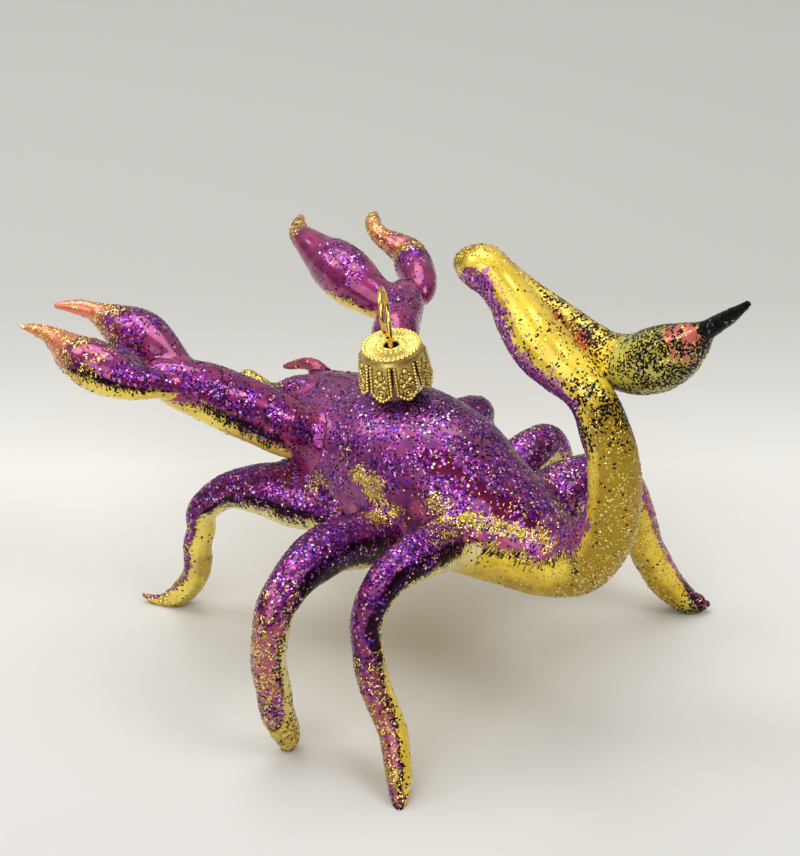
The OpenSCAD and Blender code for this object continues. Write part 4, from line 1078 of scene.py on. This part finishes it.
flakes = {}
strew = flakeTree()
sockets = {item.name: item.identifier for item in strew.interface.items_tree if item.in_out == "INPUT"}
flakeFinishes = {kind: flakeMaterial(kind, values) for kind, values in flakeKinds.items()}
groups = {}
for name, plan in paintPlans.items():
    groups.setdefault(plan["group"], []).append(name)
for group, names in groups.items():
    for kind, values in flakeKinds.items():
        carrier = carrierOf(names)
        modifier = carrier.modifiers.new("strew", "NODES")
        modifier.node_group = strew
        settings = {
            "Share": kind, "Density": values["density"] / mm ** 2, "Radius": values["radius"] * mm,
            "Slender": values["slender"], "Thickness": flakeCut["thickness"] * mm, "Tilt": values["tilt"],
            "Clump scale": values["clump"], "Gather from": values["gather"][0],
            "Gather to": values["gather"][1], "Seed": values["seed"], "Finish": flakeFinishes[kind]}
        for label, value in settings.items():
            modifier[sockets[label]] = value
        piece = settle(carrier, f"{kind}.{group}")
        if len(piece.data.polygons):
            flakes[piece.name] = piece
        else:
            bpy.data.objects.remove(piece)
print("flakes:", {name: len(p.data.polygons) // (flakeCut["sides"] + 1) for name, p in flakes.items()})


# the neck, cap and wire stand on the neck's own axis

neckPlace = (Matrix.Translation(Vector(neckFoot * mm))
             @ Matrix.Rotation(math.radians(neckSize["leanY"]), 4, "Y")
             @ Matrix.Rotation(math.radians(neckSize["leanX"]), 4, "X"))


def onNeck(piece, turn=0.0):
    # from the neck's own frame to the shared one, with every face turned outwards
    piece.data.transform(neckPlace @ Matrix.Rotation(math.radians(turn), 4, "Z"))
    work = bmesh.new()
    work.from_mesh(piece.data)
    bmesh.ops.recalc_face_normals(work, faces=work.faces)
    work.to_mesh(piece.data)
    work.free()
    return piece


def spun(radius, angle, height):
    # points from their radius, angle and height
    return np.stack([radius * np.cos(angle), radius * np.sin(angle), height * np.ones_like(angle)], axis=-1)


# the neck's closed outline as radius and height, mm
neckProfile = [
    (5.1, -3), (4.75, -1.4), (4.6, 0), (4.6, 3), (4.6, 6), (4.6, 8.6), (4.55, 8.85), (4.4, 8.98), (4.2, 9),
    (4.0, 8.98), (3.85, 8.85), (3.8, 8.6), (3.8, 4), (3.8, 0), (3.8, -3)]
neckAround = 64
outline = np.array(neckProfile, float)
neckPoints = spun(outline[:, :1], circle(neckAround), outline[:, 1:]).reshape(-1, 3)
neck = onNeck(addMesh("neck.glass", neckPoints, ringFaces(len(outline), neckAround, closed=True)))

capPlan = {
    "top": 9.47, "sheet": 0.3, "rimSheet": 0.2, "hole": 1.3, "disc": 5.45, "discIn": 0.12,
    "discRows": 56, "collarRows": 5, "innerEvery": 4, "crease": 0.01,
    "rolledEdge": [(0.04, 0.03), (0, 0.12), (0, 0.22), (0.08, 0.3)],    # in from the disc's edge and down
    "shoulder": 0.34, "collarTop": 5.25, "collarFoot": 5.75, "collarDrop": 0.95, "relief": 0.42, "turn": 19.5,
    "petals": 8, "columns": 41, "rows": 61, "petalFrom": 0.8, "tuck": 0.1, "flare": 0.8, "flatten": 0.5,
    "footRadius": 6.45, "footHeight": 1.15, "point": 1.7, "pointCurve": 1.35, "slit": (0.3, 0.7),
    "edgeCurl": (0.12, 6)}    # mm and degrees

# marks are half length, half width, turn in degrees and height as a share of the relief
discStamps = {
    "beads": 36, "beadFacets": 8, "beadIn": 0.44, "bead": (0.38, 0.38, 0, 1.0),
    "fluteFrom": (2.8, 0.25), "fluteTo": (0.8, 0.2), "fluteRise": 0.7, "fluteRound": 0.8,
    "leaves": 16, "leafAt": 2.3, "leaf": (0.42, 0.34, 0, 0.7), "studAt": 1.84, "stud": (0.14, 0.14, 0, 0.4),
    "lip": (1.5, 0.18, 0.6), "flange": (5.35, 0.1, 0.45), "middle": 4.55, "middleRise": 0.8,
    "bright": (0.6, 0.4), "collarBright": 0.45}
petalStamps = {
    "edgeBead": (0.26, 0.28, 0, 0.85), "edgeIn": 0.3, "edgeFrom": 0.5, "edgeTo": 0.1, "edgeStep": 0.64,
    "footBead": (0.33, 0.33, 0, 1), "footUp": 0.36, "footFrom": 0.4, "footBeads": 8,
    "flowerAt": 0.48, "leafTurns": (40, 140, 220, 320), "leafOut": (0.85, 0.8), "leaf": (0.58, 0.24),
    "leafRise": 0.95, "dotOut": (1.15, 0.35), "dot": (0.2, 0.2, 0, 0.6), "core": (0.28, 0.28, 0, 1),
    "crestAt": 0.17, "crest": (0.46, 0.42, 0, 1), "besideAt": 0.27, "besideOut": 0.75,
    "beside": (0.22, 0.22, 0, 0.7), "rosetteAt": 0.75, "rosette": (0.3, 0.3, 0, 1), "ringBeads": 12,
    "ringOut": 0.68, "ringBead": (0.22, 0.16), "ringRise": 0.8, "moat": 0.17, "moatDepth": 0.25,
    "moatSides": 2, "bright": (0.5, 0.5), "fieldBright": 0.42, "moatDark": 2.5}


def bumps(x, y, marks):
    # height of stamped marks, each its place, half length, half width, turn and height
    height = np.zeros_like(x)
    for mx, my, long, wide, turn, rise in marks:
        c, s = math.cos(math.radians(turn)), math.sin(math.radians(turn))
        u, v = ((x - mx) * c + (y - my) * s) / long, ((y - my) * c - (x - mx) * s) / wide
        height = np.maximum(height, rise * np.sqrt(np.clip(1 - u * u - v * v, 0, 1)))
    return height


def acrossEach(angle, count):
    # -0.5 to 0.5 across each of some marks round the disc
    return (angle * count / (2 * math.pi) + 0.5) % 1 - 0.5


def ridge(r, middle, half, rise):
    return rise * np.clip(1 - np.abs(r - middle) / half, 0, 1)


def capCrown():
    # stamped top and collar in one ring-shaped shell, with how bright the plate is: lighter on the top and
    # its marks, darker on the collar
    p, d = capPlan, discStamps
    top, disc, inside = p["top"], p["disc"], p["disc"] - p["sheet"]
    around = d["beads"] * d["beadFacets"]
    angle = circle(around)
    rows = [(r, top) for r in np.linspace(p["hole"], disc - p["discIn"], p["discRows"])]
    rows += [(disc - inward, top - down) for inward, down in p["rolledEdge"]]
    flare = p["collarFoot"] - p["collarTop"]
    rows += [(p["collarTop"] + s * flare, top - p["shoulder"] - s * p["collarDrop"])
             for s in np.linspace(0, 1, p["collarRows"])]
    outer = np.array(rows)
    inner = outer[::-1].copy()
    inner[:, 0] -= np.interp(inner[:, 1], [top - p["sheet"], top], [p["sheet"], 0])
    inner[:, 0] = np.clip(inner[:, 0], p["hole"], inside)
    inner[:, 1] -= np.interp(inner[:, 0], [inside - p["crease"], inside], [p["sheet"], p["rimSheet"]])
    inner = inner[::p["innerEvery"]]    # the plain inside needs fewer rows
    inner[-1, 0] = p["hole"]
    r = outer[:, :1] * np.ones(around)
    flat = np.abs(outer[:, 1:] - top) < tiny
    beadTurn = acrossEach(angle, d["beads"])
    beads = bumps(r, beadTurn * 2 * math.pi / d["beads"] * r, [(disc - d["beadIn"], 0, *d["bead"])])
    band = np.clip((r - d["fluteFrom"][0]) / d["fluteFrom"][1], 0, 1)
    band *= np.clip((disc - d["fluteTo"][0] - r) / d["fluteTo"][1], 0, 1)
    fluted = d["fluteRise"] * (0.5 + 0.5 * np.cos(2 * math.pi * beadTurn)) ** d["fluteRound"] * band
    leafArc = acrossEach(angle, d["leaves"]) * 2 * math.pi / d["leaves"] * r
    leaves = bumps(r, leafArc, [(d["leafAt"], 0, *d["leaf"]), (d["studAt"], 0, *d["stud"])])
    rise = np.maximum.reduce([beads, fluted, leaves, ridge(r, *d["lip"]), ridge(r, *d["flange"])]) * flat
    height = outer[:, 1:] + rise * p["relief"] * np.where(r > d["middle"], 1.0, d["middleRise"])
    points = np.vstack([spun(r, angle, height), spun(inner[:, :1], angle, inner[:, 1:])])
    low, gain = d["bright"]
    bright = np.where(flat, low + gain * rise, d["collarBright"])
    return points, np.vstack([bright, np.zeros((len(inner), around))])


def capPetal():
    # one petal as a curved plate: its outer and inner face, and how bright the outer one is: lighter on its
    # marks, darker round them and on the plain field
    p, d = capPlan, petalStamps
    across, down = np.meshgrid(np.linspace(-1, 1, p["columns"]), np.linspace(0, 1, p["rows"]))
    high = p["top"] - p["shoulder"] - p["collarDrop"] * p["petalFrom"]
    tall = high - p["footHeight"]
    z = high + down * (p["footHeight"] + p["point"] * np.abs(across) ** p["pointCurve"] - high)
    share = (high - z) / tall
    root = p["collarFoot"] - p["tuck"]
    radius = root + (p["footRadius"] - root) * share ** p["flare"]
    slit = p["slit"][0] + (p["slit"][1] - p["slit"][0]) * share
    half = math.pi / p["petals"] - 0.5 * slit / radius
    angle = across * half
    curl, power = p["edgeCurl"]
    radius = radius * (1 - p["flatten"] * (1 - 1 / np.cos(angle))) - curl * np.abs(across) ** power
    x, y = angle * radius, high - z    # mm across and down the petal
    marks = []
    edge = np.column_stack([(half * radius)[:, -1], y[:, -1]])
    run = lengthAlong(edge)
    for s in np.arange(d["edgeFrom"], run[-1] - d["edgeTo"], d["edgeStep"]):
        ex, ey = np.interp(s, run, edge[:, 0]) - d["edgeIn"], np.interp(s, run, edge[:, 1])
        marks += [(ex, ey, *d["edgeBead"]), (-ex, ey, *d["edgeBead"])]
    foot = np.column_stack([x[-1], y[-1] - d["footUp"]])
    run = lengthAlong(foot)
    for s in np.linspace(d["footFrom"], run[-1] - d["footFrom"], d["footBeads"]):
        marks.append((np.interp(s, run, foot[:, 0]), np.interp(s, run, foot[:, 1]), *d["footBead"]))
    flower, crest = d["flowerAt"] * tall, d["crestAt"] * tall
    beside, rosette = d["besideAt"] * tall, d["rosetteAt"] * tall
    for turn in d["leafTurns"]:
        c, s = math.cos(math.radians(turn)), math.sin(math.radians(turn))
        marks.append((d["leafOut"][0] * c, flower + d["leafOut"][1] * s, *d["leaf"], turn, d["leafRise"]))
        marks.append((d["dotOut"][0] * np.sign(c), flower + d["dotOut"][1] * np.sign(s), *d["dot"]))
    marks += [(0, flower, *d["core"]), (0, crest, *d["crest"]), (0, rosette, *d["rosette"]),
              (d["besideOut"], beside, *d["beside"]), (-d["besideOut"], beside, *d["beside"])]
    for turn in np.arange(d["ringBeads"]) * 360 / d["ringBeads"]:
        c, s = d["ringOut"] * math.cos(math.radians(turn)), d["ringOut"] * math.sin(math.radians(turn))
        marks.append((c, rosette + s, *d["ringBead"], turn + 90, d["ringRise"]))
    rise = bumps(x, y, marks)
    wider = [(mx, my, long + d["moat"], wide + d["moat"], turn, 1)
             for mx, my, long, wide, turn, height in marks]
    moat = bumps(x, y, wider)
    low, gain = d["bright"]
    dark = d["fieldBright"] * np.clip(moat * d["moatDark"], 0, 1)
    bright = np.where(rise > 0, low + gain * rise, d["fieldBright"] - dark)
    sunk = d["moatDepth"] * (rise == 0) * np.clip(moat * d["moatSides"], 0, 1)
    outer = radius + (rise - sunk) * p["relief"]
    return [spun(q, angle, z) for q in (outer, radius - p["sheet"])], bright


def capMesh():
    crown, crownBright = capCrown()
    count, around = crown.shape[:2]
    quads = [ringFaces(count, around, closed=True)]
    points, bright = [crown.reshape(-1, 3)], [crownBright.reshape(-1)]
    (outer, inner), petalBright = capPetal()
    rows, columns = outer.shape[:2]
    size = rows * columns
    index = np.arange(size).reshape(rows, columns)
    grid = np.stack([index[:-1, :-1], index[1:, :-1], index[1:, 1:], index[:-1, 1:]], axis=-1).reshape(-1, 4)
    edge = np.concatenate([index[0, :-1], index[:-1, -1], index[-1, :0:-1], index[:0:-1, 0]])
    ahead = np.roll(edge, -1)
    wall = np.column_stack([edge, ahead, ahead + size, edge + size])
    petal = np.vstack([grid, grid[:, ::-1] + size, wall])
    start = count * around
    for turn in circle(capPlan["petals"]):
        c, s = math.cos(turn), math.sin(turn)
        spin = np.array([[c, s, 0], [-s, c, 0], [0, 0, 1]])
        points += [outer.reshape(-1, 3) @ spin, inner.reshape(-1, 3) @ spin]
        bright += [petalBright.reshape(-1), np.zeros(size)]
        quads.append(petal + start)
        start += 2 * size
    piece = addMesh("cap.stamped", np.vstack(points), np.vstack(quads))
    setValues(piece.data, "bright", np.concatenate(bright))
    return onNeck(piece, capPlan["turn"])


cap = capMesh()
print("cap stamped:", len(cap.data.polygons), "faces")

wirePlan = {
    "radius": 0.46, "base": 9.47, "turn": -49, "lean": 0.055, "around": 20, "spacing": 0.25, "half": [
        (2.7, -14), (2.6, -11), (2.1, -7), (1.3, -3), (0.8, -0.8), (0.75, 0.4), (1, 1.4), (2.2, 3.2),
        (3.91, 4.84), (4.6, 6.6), (4.0, 8.8), (2.3, 10.45), (0, 11)]}    # half the loop: aside and up, mm
halfLoop = [(aside, -max(high, 0) * wirePlan["lean"], wirePlan["base"] + high, wirePlan["radius"])
            for aside, high in wirePlan["half"]]
wireRoute = halfLoop + [(-x, y, z, r) for x, y, z, r in halfLoop[-2::-1]]
wirePath = smoothRoute(wireRoute, wirePlan["spacing"])
wireRings = sweep(wirePath, (0, 1, 0), wirePlan["around"])["rings"]
count, around = wireRings.shape[:2]
wirePoints = np.vstack([wireRings.reshape(-1, 3), wirePath[:1, :3], wirePath[-1:, :3]])
wire = addMesh("hanger.wire", wirePoints, ringFaces(count, around), endFans(count, around))
wire = onNeck(wire, wirePlan["turn"])
print("wire bent:", len(wirePath), "sections")

# antique gold plate: bright on what stands proud, brown in the recesses
capLook = {"recess": (126, 90, 38), "proud": (255, 232, 134), "wornScale": 700, "worn": 0.4,
           "rubbed": (0.05, 0.75), "fineScale": 3200, "rough": (0.2, 0.36), "polish": 0.2}
material, tree, shader = newMaterial("cap_gold", {"Metallic": 0.95})
at = objectPlace(tree)
proud = jitter(tree, kept(tree, "bright"), mottle(tree, at, capLook["wornScale"], 3), capLook["worn"])
proud = ease(tree, proud, *capLook["rubbed"])
tree.links.new(layer(tree, proud, paint(*capLook["recess"]), paint(*capLook["proud"])),
               shader.inputs["Base Color"])
rough = calc(tree, "MULTIPLY_ADD", mottle(tree, at, capLook["fineScale"]), *capLook["rough"])
tree.links.new(calc(tree, "SUBTRACT", rough, calc(tree, "MULTIPLY", proud, capLook["polish"])),
               shader.inputs["Roughness"])
cap.data.materials.append(material)

# drawn brass wire, a little uneven in tone
wireLook = {"tones": ((236, 204, 108), (214, 176, 84)), "scale": 500, "rough": (2500, 0.12, 0.06)}
material, tree, shader = newMaterial("wire_gold", {"Metallic": 1.0})
at = objectPlace(tree)
uneven = layer(tree, mottle(tree, at, wireLook["scale"]), *(paint(*tone) for tone in wireLook["tones"]))
tree.links.new(uneven, shader.inputs["Base Color"])
mottledRough(tree, shader, at, *wireLook["rough"])
wire.data.materials.append(material)

# silvered glass with brown stains
neckLook = {"tones": ((196, 190, 176), (186, 150, 92)), "scale": 380, "stain": (0.4, 0.62),
            "rough": (1200, 0.2, 0.08)}
silvering = {"Metallic": 0.85, "Coat Weight": 0.8, "Coat Roughness": 0.03}
material, tree, shader = newMaterial("neck_glass", silvering)
at = objectPlace(tree)
stain = ease(tree, mottle(tree, at, neckLook["scale"], 3), *neckLook["stain"])
tree.links.new(layer(tree, stain, *(paint(*tone) for tone in neckLook["tones"])), shader.inputs["Base Color"])
mottledRough(tree, shader, at, *neckLook["rough"])
neck.data.materials.append(material)
print("cap, wire and neck finished")


# stage, light and camera

# painted shade on the floor paper: darkest far back, lightest a little behind the object, somewhat darker
# towards the front
stagePlan = {
    "half": 2.4, "away": (-0.69, 0.725, 0), "fade": (-0.12, 0.16),    # metres
    "tones": [(0, (207, 206, 205)), (0.72, (222, 221, 219)), (1, (188, 188, 185))]}
corners = np.array([[-1, -1, 0], [1, -1, 0], [1, 1, 0], [-1, 1, 0]])
floor = addMesh("floor", corners * stagePlan["half"] / mm, [(0, 1, 2, 3)], smooth=False)
material, tree, shader = newMaterial("floor_paper", {"Roughness": 0.9, "Specular IOR Level": 0.1})
depth = vector(tree, "DOT_PRODUCT", objectPlace(tree), stagePlan["away"], "Value")
tree.links.new(toneRamp(tree, ease(tree, depth, *stagePlan["fade"]), stagePlan["tones"]),
               shader.inputs["Base Color"])
floor.data.materials.append(material)

studio = {"up": (-0.35, 0.3, 0.89), "fade": (-0.1, 0.95), "low": (102, 92, 68), "high": (194, 192, 186)}
world = bpy.data.worlds.new("studio")
bpy.context.scene.world = world
world.use_nodes = True
tree = world.node_tree
backdrop = tree.nodes["Background"]
direction = put(tree, "ShaderNodeTexCoord").outputs["Generated"]
lift = ease(tree, vector(tree, "DOT_PRODUCT", direction, studio["up"], "Value"), *studio["fade"])
tree.links.new(layer(tree, lift, paint(*studio["low"]), paint(*studio["high"])), backdrop.inputs["Color"])
backdrop.inputs["Strength"].default_value = 1.0


def aimFrom(thing, at, target):
    thing.rotation_euler = (Vector(target) - Vector(at)).to_track_quat("-Z", "Y").to_euler()


lampAim = (0, 0, 0.03)    # metres
lamps = {
    "over": {"at": (-0.28, 0.13, 1.0), "size": 0.8, "power": 4.7},
    "left": {"at": (-0.55, -0.35, 0.7), "size": 0.4, "power": 1.7},
    "right": {"at": (0.55, 0.1, 0.75), "size": 0.4, "power": 1.9},
    "front": {"at": (0.25, -0.75, 0.6), "size": 0.9, "power": 3.7}}
for name, values in lamps.items():
    lamp = bpy.data.lights.new(name, "AREA")
    lamp.shape, lamp.size, lamp.energy = "DISK", values["size"], values["power"]
    holder = bring(name, lamp)
    holder.location = values["at"]
    aimFrom(holder, values["at"], lampAim)

cameraPlan = {"at": (224.95, -239.53, 234.6), "aim": (-13.5, 11.748, 34.6), "lens": 89.16,
              "sensor": 36.0}    # mm
camera = bring("camera", bpy.data.cameras.new("camera"))
camera.location = Vector(cameraPlan["at"]) * mm
aimFrom(camera, cameraPlan["at"], cameraPlan["aim"])
camera.data.lens, camera.data.sensor_width = cameraPlan["lens"], cameraPlan["sensor"]
bpy.context.scene.camera = camera
bpy.context.scene.view_settings.view_transform = "Standard"
print("stage, lamps and camera set")


# what each piece stands for and rides on

for name, piece in glass.items():
    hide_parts(name)
    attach(piece, "glass")
for piece, node, body in ((neck, "neck", "glass"), (cap, "cap", "cap"), (wire, "hanger_wire", "hanger")):
    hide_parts(node)
    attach(piece, body)
for piece in flakes.values():
    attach(piece, "glass")
